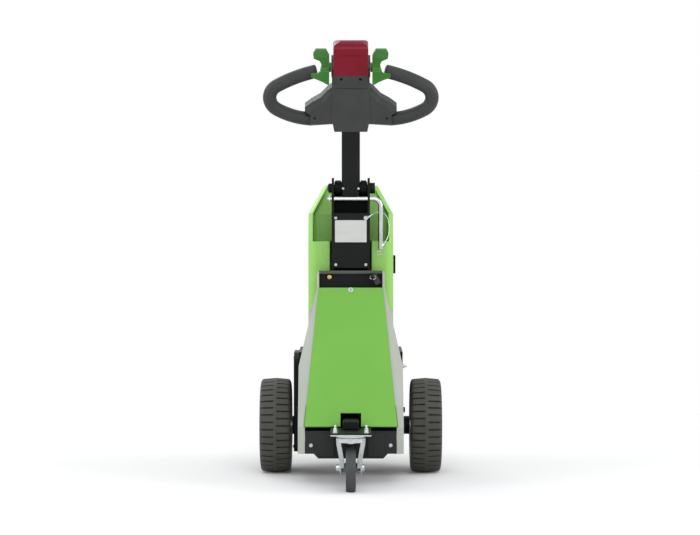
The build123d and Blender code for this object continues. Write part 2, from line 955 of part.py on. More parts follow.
# Places of the locking pin and of its lanyard's route
pin_y0 = at(pivot_y) - arm_w / 2 - pin_r - seat_gap
lanyard_points = (
    (52.0, -87.0, 708.5),
    (62.0, -80.0, 715.0),
    (70.0, -61.0, 718.5),
    (84.0, -53.5, 719.0),
    (96.0, -53.0, 711.0),
    (103.0, -54.0, 695.0),
    (105.0, -57.0, 676.0),
    (103.0, -60.0, 657.0),
    (98.5, -63.0, 643.0),
    (90.0, -66.5, 632.0),
)
lanyard_route = [Vector(x, at(y), z) for x, y, z in lanyard_points]
lanyard_first = lanyard_route[1] - lanyard_route[0]
lanyard_last = lanyard_route[-1] - lanyard_route[-2]


def bend_radii(route):
    """Bend at each inner point of a route, as large as its two runs allow."""
    radii = []
    for before, point, after in zip(route, route[1:], route[2:]):
        run_in = point - before
        run_out = after - point
        half_turn = radians(run_in.get_angle(run_out) / 2)
        radii.append(0.45 * min(run_in.length, run_out.length) / tan(half_turn))
    return radii


# Mast: two side plates, a back plate and the screwed front cover plate
for side, name in SIDES:
    with BuildPart() as mast_plate:
        with BuildSketch(across(side * mast_w / 2)):
            with BuildLine():
                Polyline(
                    (at(mast_front), deck_top),
                    (at(mast_front), pivot_z - mast_shoulder_h),
                    (at(mast_front) + mast_shoulder_l, mast_top),
                    (at(mast_back) - mast_shoulder_l, mast_top),
                    (at(mast_back), mast_back_top),
                    (at(mast_back), deck_top),
                    close=True,
                )
            make_face()
            fillet(vertices().group_by(Axis.Y)[-1], 8)
            with Locations((at(pivot_y), pivot_z)):
                Circle(pivot_r + shaft_gap, mode=Mode.SUBTRACT)
            with Locations((pin_y0, pin_z)):
                Circle(pin_r + shaft_gap, mode=Mode.SUBTRACT)
        extrude(amount=-side * mast_t)
    save(mast_plate.part, f"mast_plate_{name}")

with BuildPart() as mast_back_plate:
    with BuildSketch(facing(mast_back)):
        with Locations((0, (deck_top + mast_back_top) / 2)):
            Rectangle(mast_w - 2 * mast_t, mast_back_top - deck_top)
    extrude(amount=mast_t)
save(mast_back_plate.part, "mast_back_plate")

with BuildPart() as mast_cover:
    with BuildSketch(facing(mast_front)):
        with Locations((0, (mast_cover_low + mast_cover_top) / 2)):
            RectangleRounded(mast_w, mast_cover_top - mast_cover_low, 3)
    extrude(amount=mast_cover_t)
save(mast_cover.part, "mast_cover_plate")

pivot_line = Axis((0, at(pivot_y), pivot_z), (1, 0, 0))
with BuildPart() as pivot_shaft:
    with BuildSketch(wheel_plane(1, 0, at(pivot_y), pivot_z)):
        with BuildLine():
            Polyline(
                (-mast_w / 2 - 12, 0),
                (-mast_w / 2 - 12, pivot_r * 0.7),
                (-mast_w / 2 - 8, pivot_r * 1.3),
                (-mast_w / 2, pivot_r * 1.3),
                (-mast_w / 2, pivot_r),
                (mast_w / 2, pivot_r),
                (mast_w / 2, pivot_r * 1.5),
                (mast_w / 2 + 14, pivot_r * 1.5),
                (mast_w / 2 + 14, 0),
                close=True,
            )
        make_face()
    revolve(axis=pivot_line)
save(pivot_shaft.part, "pivot_shaft")

# Locking pin through both mast plates, bent down on the right
with BuildPart() as locking_pin:
    with BuildLine() as pin_path:
        FilletPolyline(
            (-pin_left, pin_y0, pin_z),
            (pin_right, pin_y0, pin_z),
            (pin_right, pin_y0, pin_low),
            radius=pin_bend_r,
        )
    with BuildSketch(Plane(origin=pin_path.line @ 0, z_dir=pin_path.line % 0)):
        Circle(pin_r)
    sweep(path=pin_path.line)
    with BuildSketch(Plane(origin=lanyard_route[-1], z_dir=lanyard_last)):
        Circle(ferrule_r)
    extrude(amount=ferrule_l)
save(locking_pin.part, "locking_pin")

# Lanyard of the pin: an eyelet on the cover plate's screw and a wire round to the pin
with BuildPart() as eyelet:
    with BuildSketch(facing(mast_front - mast_cover_t)):
        with Locations((mast_w / 2 - 11, mast_cover_top - 13)):
            Circle(6)
    extrude(amount=4)
    with BuildSketch(Plane(origin=lanyard_route[0], z_dir=lanyard_first)):
        Circle(ferrule_r)
    extrude(amount=-ferrule_l)
save(eyelet.part, "lanyard_eyelet")

with BuildPart() as lanyard:
    with BuildLine() as wire:
        FilletPolyline(*lanyard_route, radius=bend_radii(lanyard_route))
    with BuildSketch(Plane(origin=wire.line @ 0, z_dir=wire.line % 0)):
        Circle(lanyard_r)
    sweep(path=wire.line)
save(lanyard.part, "pin_lanyard")

# Console: black panel between the ears, grey top with a rounded front bar
console_half = ear_w / 2 - ear_flange_w - seat_gap
key_x = console_half - key_inset
bar_z = ear_z - bar_r / 2
panel_back = mast_front - mast_slot
panel_face = panel_back - console_t
with BuildPart() as console_panel:
    with BuildSketch(facing(panel_back)):
        with Locations((0, (console_low + ear_z - sheet_t - seat_gap) / 2)):
            Rectangle(2 * console_half, ear_z - sheet_t - seat_gap - console_low)
    extrude(amount=console_t)
save(console_panel.part, "console_panel")

with BuildPart() as console_top:
    with BuildSketch(Plane.XY.offset(ear_z - sheet_t)):
        with Locations((0, at((bar_y + body_back) / 2))):
            Rectangle(2 * console_half, body_back - bar_y)
        with Locations((0, at((mast_front + body_back) / 2))):
            Rectangle(mast_w + 2 * mast_slot, body_back - mast_front + 2 * mast_slot, mode=Mode.SUBTRACT)
    extrude(amount=sheet_t)
    with BuildSketch(across(0)):
        with Locations((at(bar_y), bar_z)):
            Circle(bar_r)
    extrude(amount=console_half, both=True)
save(console_top.part, "console_top")

# Key switch with its key, and the small lamp beside it
with BuildPart() as key_switch:
    with BuildSketch(facing(panel_face)):
        with Locations((key_x, key_z)):
            Circle(key_r)
    extrude(amount=key_bezel_l)
    with BuildSketch(facing(panel_face - key_bezel_l)):
        with Locations((key_x, key_z)):
            Rectangle(key_blade_t, key_blade_h)
    extrude(amount=key_blade_l + key_bow_r)
    with BuildSketch(across(key_x)):
        with Locations((at(panel_face - key_bezel_l - key_blade_l - key_bow_r), key_z)):
            Circle(key_bow_r)
            with Locations((-key_bow_r / 2, 0)):
                Circle(key_eye_r, mode=Mode.SUBTRACT)
    extrude(amount=key_bow_t / 2, both=True)
save(key_switch.part, "key_switch")

with BuildPart() as panel_lamp:
    with BuildSketch(facing(panel_face)):
        with Locations((-key_x, lamp_z)):
            Circle(lamp_r)
    extrude(amount=lamp_l)
    fillet(panel_lamp.faces().sort_by(Axis.Y)[0].edges(), lamp_round)
save(panel_lamp.part, "panel_lamp")


# Rear housing and hood wrap round the mast, with a slot for it in front
def slot_section(z):
    """Outline of the slot that the mast stands in."""
    with BuildSketch(Plane.XY.offset(z)) as section:
        with Locations((0, at((hood_front + mast_back) / 2))):
            Rectangle(mast_w + 2 * mast_slot, mast_back - hood_front + 2 * mast_slot)
    return section.sketch


def hood_section(z, width, front, inset):
    """Rounded outline of the hood at a height, from a front Y to the hood's back."""
    with BuildSketch(Plane.XY.offset(z)) as section:
        with Locations((0, at((front + hood_back) / 2))):
            RectangleRounded(width - 2 * inset, hood_back - front - 2 * inset, hood_corner_r - inset)
    return section.sketch


with BuildPart() as rear_housing:
    housing_h = housing_top - deck_top
    extrude(hood_section(deck_top, hood_w, hood_front, 0), amount=housing_h)
    extrude(hood_section(deck_top, hood_w, hood_front, sheet_t), amount=housing_h, mode=Mode.SUBTRACT)
    extrude(slot_section(deck_top), amount=housing_h, mode=Mode.SUBTRACT)
save(rear_housing.part, "rear_housing")

hood_blocks = []
for inset in (hood_t, 0):
    with BuildPart() as block:
        extrude(hood_section(housing_top, hood_w, hood_front, inset), amount=ledge_z - housing_top - inset)
        extrude(hood_section(housing_top, hood_w, upper_front, inset), amount=shoulder_z - housing_top)
        shoulder = hood_section(shoulder_z, hood_w, upper_front, inset)
        peak = hood_section(hood_top - inset, hood_top_w, hood_top_front, inset)
        loft([shoulder, peak], ruled=True)
    hood_blocks.append(block.part)

# Rim of the hood: the side walls run on to the front and up round the chamfers
with BuildPart() as hood_rim:
    ledge = hood_section(ledge_z, hood_w, hood_front, 0)
    shoulder = hood_section(shoulder_z, hood_w, wing_front, 0)
    loft([ledge, shoulder], ruled=True)
    loft([shoulder, hood_section(hood_top, hood_top_w, hood_top_front, 0)], ruled=True)
    with BuildSketch(facing(hood_front)):
        with BuildLine():
            Polyline(
                (0, ledge_z),
                (hood_w / 2 - hood_rim_w, ledge_z),
                (hood_w / 2 - hood_rim_w, shoulder_z),
                (hood_top_w / 2 - hood_rim_w, hood_top),
                (0, hood_top),
            )
            mirror(about=Plane.YZ)
        make_face()
    extrude(amount=hood_front - hood_back, mode=Mode.SUBTRACT)

with BuildPart() as rear_hood:
    add(hood_blocks[1])
    add(hood_rim.part)
    add(hood_blocks[0], mode=Mode.SUBTRACT)
    extrude(slot_section(housing_top), amount=ledge_z - housing_top, mode=Mode.SUBTRACT)
save(rear_hood.part, "rear_hood")

with BuildPart() as socket_flap:
    with BuildSketch(across(hood_w / 2)):
        with Locations((at(flap_y), flap_z)):
            RectangleRounded(flap_l, flap_h, 6)
    extrude(amount=flap_t)
    fillet(socket_flap.faces().sort_by(Axis.X)[-1].edges(), 2)
save(socket_flap.part, "socket_flap")

# Tiller arm: square tube mitred under the head, with its pivot boss
with BuildPart() as tiller_arm:
    with BuildSketch(Plane.XY.offset(arm_low)):
        with Locations((0, at(pivot_y))):
            RectangleRounded(arm_w, arm_w, 5)
            RectangleRounded(arm_w - 2 * arm_t, arm_w - 2 * arm_t, 2.5, mode=Mode.SUBTRACT)
    extrude(amount=head_z + arm_w - arm_low)
    split(bisect_by=Plane(origin=head_plane.origin, z_dir=head_plane.y_dir), keep=Keep.BOTTOM)
    with BuildSketch(across(0)):
        with Locations((at(pivot_y), pivot_z)):
            Circle(boss_r)
    extrude(amount=mast_w / 2 - mast_t - 1, both=True)
    with BuildSketch(across(0)):
        with Locations((at(pivot_y), pivot_z)):
            Circle(pivot_r + shaft_gap)
    extrude(amount=mast_w / 2, both=True, mode=Mode.SUBTRACT)
save(tiller_arm.part, "tiller_arm")


def head_side(x):
    """Plane along the head at a given X: X along the head, Y towards the operator, facing +X."""
    return Plane(origin=(x, at(pivot_y), head_z), x_dir=head_plane.y_dir, z_dir=(1, 0, 0))


# Tiller head: moulded housing with a cheek on each side and two ear plates beside the button
rise = radians(grip_rise)
grip_top_bend = degrees(grip_top_l / grip_top_r)
grip_seat = Vector(cheek_w / 2, grip_low)
seat_half = grip_r + 3
seat_up = Vector(-sin(rise), cos(rise))
seat_top = grip_seat + seat_up * seat_half
seat_low = grip_seat - seat_up * (grip_r - cheek_lift)


def cheek_section(side, height, facet):
    """Outline of a cheek at a height over the head's middle, its edges drawn in by a facet."""
    lean = Vector(-0.55, -0.83) * facet
    edge = [Vector(*point) + lean for point in cheek_edge]
    corners = [
        Vector(head_w / 2 - 10, cheek_root) + Vector(0, lean.Y),
        *edge,
        Vector(max(seat_top.X, cheek_tip_x + lean.X), cheek_tip),
        seat_top,
        seat_low + seat_up * facet * 0.8,
        Vector(head_w / 2 - 10, cheek_low + facet * 0.5),
    ]
    with BuildSketch(head_plane.offset(height)) as section:
        with BuildLine():
            Polyline(*[(side * corner.X, corner.Y) for corner in corners], close=True)
        make_face()
    return section.sketch


with BuildPart() as tiller_head:
    with BuildSketch(head_plane):
        with BuildLine():
            Polyline(
                (0, 0),
                (head_foot_w / 2, 0),
                (head_w / 2, head_taper_l),
                (head_w / 2, head_l),
                (0, head_l),
            )
            mirror(about=Plane.YZ)
        make_face()
    extrude(amount=head_t / 2, both=True)
    fillet(tiller_head.edges().filter_by(Axis(head_plane.origin, head_plane.y_dir)), 8)
    for side, name in SIDES:
        cheek = cheek_section(side, cheek_t / 2 - cheek_facet, 0)
        extrude(cheek, amount=-cheek_t + cheek_facet)
        loft([cheek, cheek_section(side, cheek_t / 2, cheek_facet)], ruled=True)
    with BuildSketch(head_plane.offset(head_t / 2)):
        with Locations((0, seam_along)):
            Rectangle(head_w, seam_w)
    extrude(amount=-seam_depth, mode=Mode.SUBTRACT)
    with BuildSketch(head_plane.offset(head_t / 2)):
        with Locations((-screw_hole_x, screw_hole_along), (screw_hole_x, screw_hole_along)):
            Circle(screw_hole_r)
    extrude(amount=-screw_hole_r, mode=Mode.SUBTRACT)
    for side, name in SIDES:
        with BuildSketch(head_side(side * (button_w / 2 + panel_gap))):
            with Locations((head_l + ear_plate_l / 2 - 5, 0)):
                RectangleRounded(ear_plate_l + 10, head_t - 16, 8)
        extrude(amount=side * ear_plate_t)
save(tiller_head.part, "tiller_head")

# Grip loops: out along the lower bar, round the end and back along the upper bar
for side, name in SIDES:
    with BuildPart() as grip:
        with BuildLine(head_plane) as loop:
            low = JernArc(
                start=(side * grip_seat.X, grip_seat.Y),
                tangent=(side * cos(rise), sin(rise)),
                radius=grip_low_r,
                arc_size=side * grip_low_bend,
            )
            end = JernArc(start=low @ 1, tangent=low % 1, radius=grip_bend_r, arc_size=side * grip_bend)
            JernArc(start=end @ 1, tangent=end % 1, radius=grip_top_r, arc_size=side * grip_top_bend)
        with BuildSketch(Plane(origin=loop.line @ 0, z_dir=loop.line % 0)):
            Circle(grip_r)
        sweep(path=loop.line)
        fillet(grip.faces().filter_by(GeomType.PLANE).sort_by(Axis.Z)[-1].edges(), grip_end_round)
    save(grip.part, f"grip_{name}")

# Belly button: a nose over the head's end, crowned towards its tip
nose_l = head_l + button_l - head_t / 2
with BuildPart() as belly_button:
    with BuildSketch(head_side(0)):
        with Locations(((head_l + nose_l) / 2, 0)):
            Rectangle(nose_l - head_l, head_t)
        with Locations((nose_l, 0)):
            Circle(head_t / 2)
    extrude(amount=button_w / 2, both=True)
    with BuildSketch(head_plane):
        with BuildLine():
            ThreePointArc(
                (-button_w / 2, head_l + button_l - button_crown),
                (0, head_l + button_l + button_crown / 2),
                (button_w / 2, head_l + button_l - button_crown),
            )
            Polyline(
                (button_w / 2, head_l + button_l - button_crown),
                (button_w / 2, head_l),
                (-button_w / 2, head_l),
                (-button_w / 2, head_l + button_l - button_crown),
            )
        make_face()
        fillet(vertices().group_by(Axis.Y)[-1], button_round)
    extrude(amount=head_t, both=True, mode=Mode.INTERSECT)
    with BuildSketch(head_plane.offset(head_t / 2)):
        with Locations((0, button_line_along)):
            Rectangle(button_line_w, seam_w)
    extrude(amount=-seam_depth, mode=Mode.SUBTRACT)
save(belly_button.part, "belly_button")

# Throttle levers: a bent wing on each side, with an upper and a lower ear
for side, name in SIDES:
    with BuildPart() as throttle:
        with BuildSketch(head_side(side * lever_in)):
            with BuildLine():
                FilletPolyline(*[(lever_along + up, out) for up, out in lever_path], radius=lever_bend_r)
            trace(line_width=lever_t)
        extrude(amount=side * (lever_ear - lever_in))
        with BuildSketch(head_plane):
            with BuildLine():
                FilletPolyline(
                    *[(side * (lever_in + out), lever_along + up) for out, up in lever_outline],
                    radius=lever_round,
                    close=True,
                )
            make_face()
        extrude(amount=60, both=True, mode=Mode.INTERSECT)
        with BuildSketch(head_side(side * lever_hub)):
            with Locations((lever_along, 0)):
                Circle(lever_boss_r)
        extrude(amount=side * (lever_in + 4 - lever_hub))
    save(throttle.part, f"throttle_{name}")

# Buttons on the head's far side: a horn button and two rockers
with BuildPart() as head_buttons:
    with BuildSketch(head_plane.offset(-head_t / 2)):
        with Locations((0, horn_along)):
            Circle(horn_r)
    extrude(amount=-pad_t)
    with BuildSketch(head_plane.offset(-cheek_t / 2)):
        with Locations((-pad_x, pad_along), (pad_x, pad_along)):
            RectangleRounded(pad_w, pad_h, pad_t)
    extrude(amount=-pad_t)
save(head_buttons.part, "head_buttons")
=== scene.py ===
# %% [markdown]
# # Dressing an electric tow tractor
# The solid model gives every rigid piece its place. This lesson adds what a solid model leaves out: paint,
# moulded plastic, rubber, tread, screws, and the small wire that keeps the locking pin from getting lost.

# %% Load the solid model
from math import cos, pi, radians, sin, sqrt

import bmesh
import bpy
from mathutils import Matrix, Vector


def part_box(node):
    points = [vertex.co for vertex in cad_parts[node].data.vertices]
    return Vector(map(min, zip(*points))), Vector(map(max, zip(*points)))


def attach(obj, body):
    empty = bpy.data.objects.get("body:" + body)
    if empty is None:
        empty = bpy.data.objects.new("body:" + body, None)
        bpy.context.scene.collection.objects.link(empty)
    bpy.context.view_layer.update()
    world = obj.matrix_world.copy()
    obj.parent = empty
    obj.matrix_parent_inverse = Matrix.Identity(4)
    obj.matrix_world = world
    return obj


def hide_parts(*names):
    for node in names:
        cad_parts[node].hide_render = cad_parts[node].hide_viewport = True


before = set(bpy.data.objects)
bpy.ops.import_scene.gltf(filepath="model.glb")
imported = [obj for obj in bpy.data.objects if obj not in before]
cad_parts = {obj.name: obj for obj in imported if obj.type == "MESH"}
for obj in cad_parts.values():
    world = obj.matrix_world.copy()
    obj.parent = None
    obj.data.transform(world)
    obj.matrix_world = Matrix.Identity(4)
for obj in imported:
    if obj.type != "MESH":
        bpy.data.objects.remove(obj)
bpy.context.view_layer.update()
scene = bpy.context.scene
scene.view_settings.view_transform = "Standard"

# %% [markdown]
# ## Camera
# The photograph looks straight at the operator's end from standing distance with a long lens. A camera
# could be nudged by eye until the picture fits. Here it is worked out: all uprights stay parallel, so the
# lens axis is nearly level, and its height follows from the horizon, the line at which tops and undersides
# of level plates both disappear.

# %% Camera at the photograph's view
MM = 0.001
PHOTO_W, PHOTO_H = 700, 535
PHOTO_CENTRE_X, HORIZON_Y = 350.8, 186
FOCAL_PX = 2250
CAMERA_RANGE, CAMERA_HEIGHT = 6.2, 0.79
SENSOR, FAR_CLIP = 36.0, 100.0

low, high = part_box("tyre_left")
AXLE_Y = low.y / 2 + high.y / 2
lens = bpy.data.cameras.new("photo_camera")
lens.sensor_width = SENSOR
lens.lens = FOCAL_PX / PHOTO_W * SENSOR
lens.clip_end = FAR_CLIP
camera = bpy.data.objects.new("photo_camera", lens)
scene.collection.objects.link(camera)
camera.location = (0, AXLE_Y - CAMERA_RANGE, CAMERA_HEIGHT)
dip = (PHOTO_H / 2 - HORIZON_Y) / FOCAL_PX
turn = (PHOTO_CENTRE_X - PHOTO_W / 2) / FOCAL_PX
camera.rotation_euler = (pi / 2 - dip, 0, turn)
scene.camera = camera
print("lens", round(lens.lens, 1), "mm")

# %% [markdown]
# ## Studio
# The photograph is a cut-out on white. A backdrop could hang behind the object, but its edges would show
# from other sides. A pale round floor that fades to plain white further out gives the same calm ground
# from everywhere, and large lamps give broad soft reflections. The lamps together light a mid grey as a
# mid grey.

# %% Add one node, and turn a colour to linear
def add(tree, kind, inputs=None, **settings):
    """Add a node. An input is a value, or a pair (node, output) to link from."""
    made = tree.nodes.new("ShaderNode" + kind)
    for key, value in settings.items():
        setattr(made, key, value)
    for key, value in (inputs or {}).items():
        if isinstance(value, tuple) and isinstance(value[0], bpy.types.Node):
            tree.links.new(value[0].outputs[value[1]], made.inputs[key])
        else:
            made.inputs[key].default_value = value
    return made


def linear(colour):
    """An sRGB hex colour such as #7fbb55 as linear red, green, blue and alpha."""
    parts = [int(colour[i:i + 2], 16) / 255 for i in (1, 3, 5)]
    return (*[c / 12.92 if c <= 0.04045 else ((c + 0.055) / 1.055) ** 2.4 for c in parts], 1.0)


def blank(name):
    """A new material with an empty node tree."""
    made = bpy.data.materials.new(name)
    made.use_nodes = True
    made.node_tree.nodes.clear()
    return made, made.node_tree


print("mid grey in linear light:", round(linear("#808080")[0], 3))

# %% Floor
FLOOR_R, FLOOR_SIDES = 40.0, 96
FADE_NEAR, FADE_FAR = 0.7, 2.2

# Matt paper has no shine. The camera sees it turn to plain white with distance, and the shadow stays.
studio, tree = blank("studio_paper_matt_white")
where = add(tree, "TexCoord")
far_off = add(tree, "VectorMath", {0: (where, "Object")}, operation="LENGTH")
fade = add(tree, "MapRange", {"Value": (far_off, "Value"), "From Min": FADE_NEAR, "From Max": FADE_FAR})
path = add(tree, "LightPath")
shown = add(tree, "Math", {0: (fade, 0), 1: (path, "Is Camera Ray")}, operation="MULTIPLY")
paper = add(tree, "BsdfDiffuse", {"Color": linear("#f2f2f1"), "Roughness": 0.8})
glow = add(tree, "Emission", {"Color": linear("#ffffff"), "Strength": 1.0})
ground = add(tree, "MixShader", {"Fac": (shown, 0), 1: (paper, 0), 2: (glow, 0)})
add(tree, "OutputMaterial", {"Surface": (ground, 0)})

bm = bmesh.new()
bmesh.ops.create_circle(bm, cap_ends=True, segments=FLOOR_SIDES, radius=FLOOR_R)
mesh = bpy.data.meshes.new("studio_floor")
bm.to_mesh(mesh)
bm.free()
mesh.materials.append(studio)
floor = bpy.data.objects.new("studio_floor", mesh)
scene.collection.objects.link(floor)
print("floor", 2 * FLOOR_R, "m across")

# %% World
AMBIENT, MIRRORED, BACKGROUND = 0.7, 0.9, 1.0

world = bpy.data.worlds.new("white_studio")
scene.world = world
world.use_nodes = True
tree = world.node_tree
tree.nodes.clear()
# Glossy rays meet nearly the white that the camera sees, so metal mirrors it. Other rays meet less light.
path = add(tree, "LightPath")
ambient = add(tree, "Background", {"Color": linear("#f6f7fb"), "Strength": AMBIENT})
mirrored = add(tree, "Background", {"Color": linear("#fafbff"), "Strength": MIRRORED})
white = add(tree, "Background", {"Color": linear("#ffffff"), "Strength": BACKGROUND})
lit = add(tree, "MixShader", {"Fac": (path, "Is Glossy Ray"), 1: (ambient, 0), 2: (mirrored, 0)})
mixed = add(tree, "MixShader", {"Fac": (path, "Is Camera Ray"), 1: (lit, 0), 2: (white, 0)})
add(tree, "OutputWorld", {"Surface": (mixed, 0)})
print("world lights with", AMBIENT, "and shows white")

# %% Lamps
# Each row is a name, a place, a target, a width, a height and a power in watts.
LAMPS = (
    ("right_lamp", (3.6, -1.0, 2.0), (0, 0, 0.6), 2.2, 2.4, 46),
    ("left_lamp", (-3.6, -1.0, 2.0), (0, 0, 0.6), 2.2, 2.4, 44),
    ("front_lamp", (0.3, -4.8, 3.3), (0, 0, 0.7), 3.4, 1.6, 62),
    ("top_lamp", (0, 0.4, 4.2), (0, 0, 0.5), 3.0, 3.0, 18),
    ("back_lamp", (-1.6, 2.6, 3.0), (0, 0.1, 0.6), 2.0, 1.6, 34),
)
for name, place, target, width, height, watts in LAMPS:
    lamp = bpy.data.lights.new(name, "AREA")
    lamp.shape = "RECTANGLE"
    lamp.size, lamp.size_y = width, height
    lamp.energy = watts
    held = bpy.data.objects.new(name, lamp)
    scene.collection.objects.link(held)
    held.location = place
    held.rotation_euler = (Vector(target) - Vector(place)).to_track_quat("-Z", "Y").to_euler()
print(len(LAMPS), "soft lamps")

# %% [markdown]
# ## One recipe for a finish
# Paint, moulded plastic, rubber and plated steel differ in a few numbers: how far the colour drifts, how
# uneven the gloss is, how coarse and deep the grain is. Each could have a node tree of its own. One
# function that builds the tree from sizes in millimetres is shorter, and each finish below is only its own
# numbers. The rounded edge of a sheet or moulding is too small to model everywhere, so a bevel node bends
# the light there as a rounded edge does.

# %% The finish function
DRIFT_FROM, DRIFT_TO = 0.2, 0.8
NOISE_DETAIL = 2.0
EDGE_SAMPLES = 4


def finish(
    name, colour, shade, patch_mm, rough, uneven, grain_mm, depth_mm,
    edge_mm=0.6, metallic=0.0, **sockets,
):
    """A material that drifts between two shades in patches, with uneven gloss and a fine grain.

    Further keywords set the shader's sockets, with an underscore for each space in a socket's name. On the
    mix node, sockets 6 and 7 are its two colours, and output 2 is the colour it makes.
    """
    sockets = {key.replace("_", " "): value for key, value in sockets.items()}
    made, tree = blank(name)
    where = add(tree, "TexCoord")
    patches = add(tree, "TexNoise", {
        "Vector": (where, "Object"), "Scale": 1 / (patch_mm * MM), "Detail": NOISE_DETAIL,
    })
    drift = add(tree, "MapRange", {
        "Value": (patches, 0), "From Min": DRIFT_FROM, "From Max": DRIFT_TO,
    }, interpolation_type="SMOOTHSTEP")
    tint = add(tree, "Mix", {0: (drift, 0), 6: linear(colour), 7: linear(shade)}, data_type="RGBA")
    gloss = add(tree, "MapRange", {
        "Value": (patches, 0), "To Min": rough - uneven, "To Max": rough + uneven,
    })
    grain = add(tree, "TexNoise", {
        "Vector": (where, "Object"), "Scale": 1 / (grain_mm * MM), "Detail": NOISE_DETAIL,
    })
    round_edge = add(tree, "Bevel", {"Radius": edge_mm * MM}, samples=EDGE_SAMPLES)
    relief = add(tree, "Bump", {
        "Strength": 1.0, "Distance": depth_mm * MM, "Height": (grain, 0), "Normal": (round_edge, 0),
    })
    shader = add(tree, "BsdfPrincipled", {
        "Base Color": (tint, 2), "Roughness": (gloss, 0), "Normal": (relief, 0), "Metallic": metallic,
        **sockets,
    })
    add(tree, "OutputMaterial", {"Surface": (shader, 0)})
    return made


def dress(material, *nodes):
    """Give a finish to solid-model pieces."""
    for name in nodes:
        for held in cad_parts[name].material_slots:
            held.material = material
    print(material.name, "on", len(nodes), "pieces")


print(len(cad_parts), "solid-model pieces to dress")

# %% [markdown]
# ## Powder coat
# The sheet steel is powder coated: the baked powder leaves a low orange-peel waviness, about 2 mm from
# crest to crest. A plain gloss paint would look too clean, so each coat has that waviness as a shallow
# bump. The chassis is satin black, the body panels light grey, the lid a smoother apple green. The
# console's bar is dark grey. The front panel and the tow jaw are a rougher black whose colour is painted
# lighter: painted light on the front panel, and a painted lift of the tow jaw out of its shade.

# %% Black, grey and green coats
# Satin black is deep, with a broad dull shine.
black_coat = finish(
    "powder_coat_satin_black", "#131514", "#191b1a", patch_mm=90, rough=0.42, uneven=0.05,
    grain_mm=2.2, depth_mm=0.02, IOR=1.4, Specular_IOR_Level=0.2,
)
# Light grey is an even tone with hardly any shine.
grey_coat = finish(
    "powder_coat_light_grey", "#afb3a9", "#b7bbb2", patch_mm=120, rough=0.4, uneven=0.05,
    grain_mm=2.2, depth_mm=0.02, IOR=1.5, Specular_IOR_Level=0.3,
)
# Apple green flowed out further in the oven, so its shine is clearer.
green_coat = finish(
    "powder_coat_apple_green", "#72b147", "#77b64b", patch_mm=160, rough=0.3, uneven=0.04,
    grain_mm=2.4, depth_mm=0.018, IOR=1.5, Specular_IOR_Level=0.3,
)
dress(
    black_coat, "axle_housing", "chassis_plate_left", "chassis_plate_right", "chassis_deck",
    "chassis_rear_plate", "chain_case", "battery_tray", "caster_beam", "mast_plate_left",
    "mast_plate_right", "mast_back_plate", "mast_cover_plate", "pivot_shaft", "tiller_arm",
    "cover_hinge_bolts",
)
dress(grey_coat, "side_panel_left", "side_panel_right", "rear_housing")
dress(green_coat, "battery_cover")

# %% Dark grey and matt black coats
# Dark grey shows a weak line of light along the bar's round front.
dark_grey_coat = finish(
    "powder_coat_dark_grey", "#4d504c", "#555854", patch_mm=60, rough=0.4, uneven=0.05,
    grain_mm=2.2, depth_mm=0.02, IOR=1.5, Specular_IOR_Level=0.2,
)
# Matt black is rougher, which spreads the light. Its colour is painted lighter than the satin black,
# as painted light on the front panel and to lift the tow jaw out of its shade.
black_coat_painted_lighter = finish(
    "powder_coat_matt_black_painted_lighter", "#262827", "#2d2f2e", patch_mm=70, rough=0.6, uneven=0.06,
    grain_mm=2.0, depth_mm=0.03, IOR=1.45, Specular_IOR_Level=0.3,
)
dress(dark_grey_coat, "console_top")
# The lighter black here is painted light on the front panel and painted lift of the tow jaw's shade.
dress(black_coat_painted_lighter, "front_panel", "tow_jaw")

# %% [markdown]
# ## Moulded plastics
# The hood is moulded ABS in a paler green than the lid, smoother than the powder coat, and the levers are
# a darker leaf green. The tiller head is a charcoal moulding with a spark-eroded grain, the grips are soft
# black vinyl, the belly button is red ABS. The same recipe serves all of them, because a moulding differs
# from paint mainly in its finer grain and rounder edges.

# %% Coloured mouldings
# The hood's gloss is wide and clean, and its mould was rounded by several millimetres.
green_abs = finish(
    "abs_gloss_apple_green", "#93cc62", "#99d168", patch_mm=200, rough=0.28, uneven=0.04,
    grain_mm=3.0, depth_mm=0.01, edge_mm=4.0, IOR=1.53, Specular_IOR_Level=0.4,
)
# The levers' deeper green has only a small shine.
lever_abs = finish(
    "abs_moulded_leaf_green", "#306e20", "#39782a", patch_mm=40, rough=0.3, uneven=0.05,
    grain_mm=1.2, depth_mm=0.015, edge_mm=1.2, IOR=1.45, Specular_IOR_Level=0.25,
)
# The button is satin under a trace of clear gloss.
red_abs = finish(
    "abs_satin_crimson", "#740f21", "#7f1228", patch_mm=70, rough=0.34, uneven=0.05,
    grain_mm=1.0, depth_mm=0.012, edge_mm=0.8, IOR=1.45, Specular_IOR_Level=0.15,
    Coat_Weight=0.08, Coat_Roughness=0.2,
)
dress(green_abs, "rear_hood")
dress(lever_abs, "throttle_left", "throttle_right")
dress(red_abs, "belly_button")

# %% Black and grey mouldings
# The head's spark-eroded grain breaks up the shine.
charcoal_abs = finish(
    "abs_grained_charcoal", "#393a39", "#3f403f", patch_mm=60, rough=0.5, uneven=0.06,
    grain_mm=0.9, depth_mm=0.03, edge_mm=1.5, IOR=1.45, Specular_IOR_Level=0.3,
)
# Small black mouldings stay near black, with a thin light edge.
black_abs = finish(
    "abs_moulded_black", "#121313", "#181919", patch_mm=50, rough=0.45, uneven=0.06,
    grain_mm=0.9, depth_mm=0.02, edge_mm=0.8, IOR=1.42, Specular_IOR_Level=0.2,
)
# Soft vinyl is dull, with a fine tooth for the hand.
grip_vinyl = finish(
    "vinyl_soft_grip_black", "#343535", "#3c3d3d", patch_mm=45, rough=0.52, uneven=0.06,
    grain_mm=0.7, depth_mm=0.04, edge_mm=2.0, IOR=1.5, Specular_IOR_Level=0.3,
)
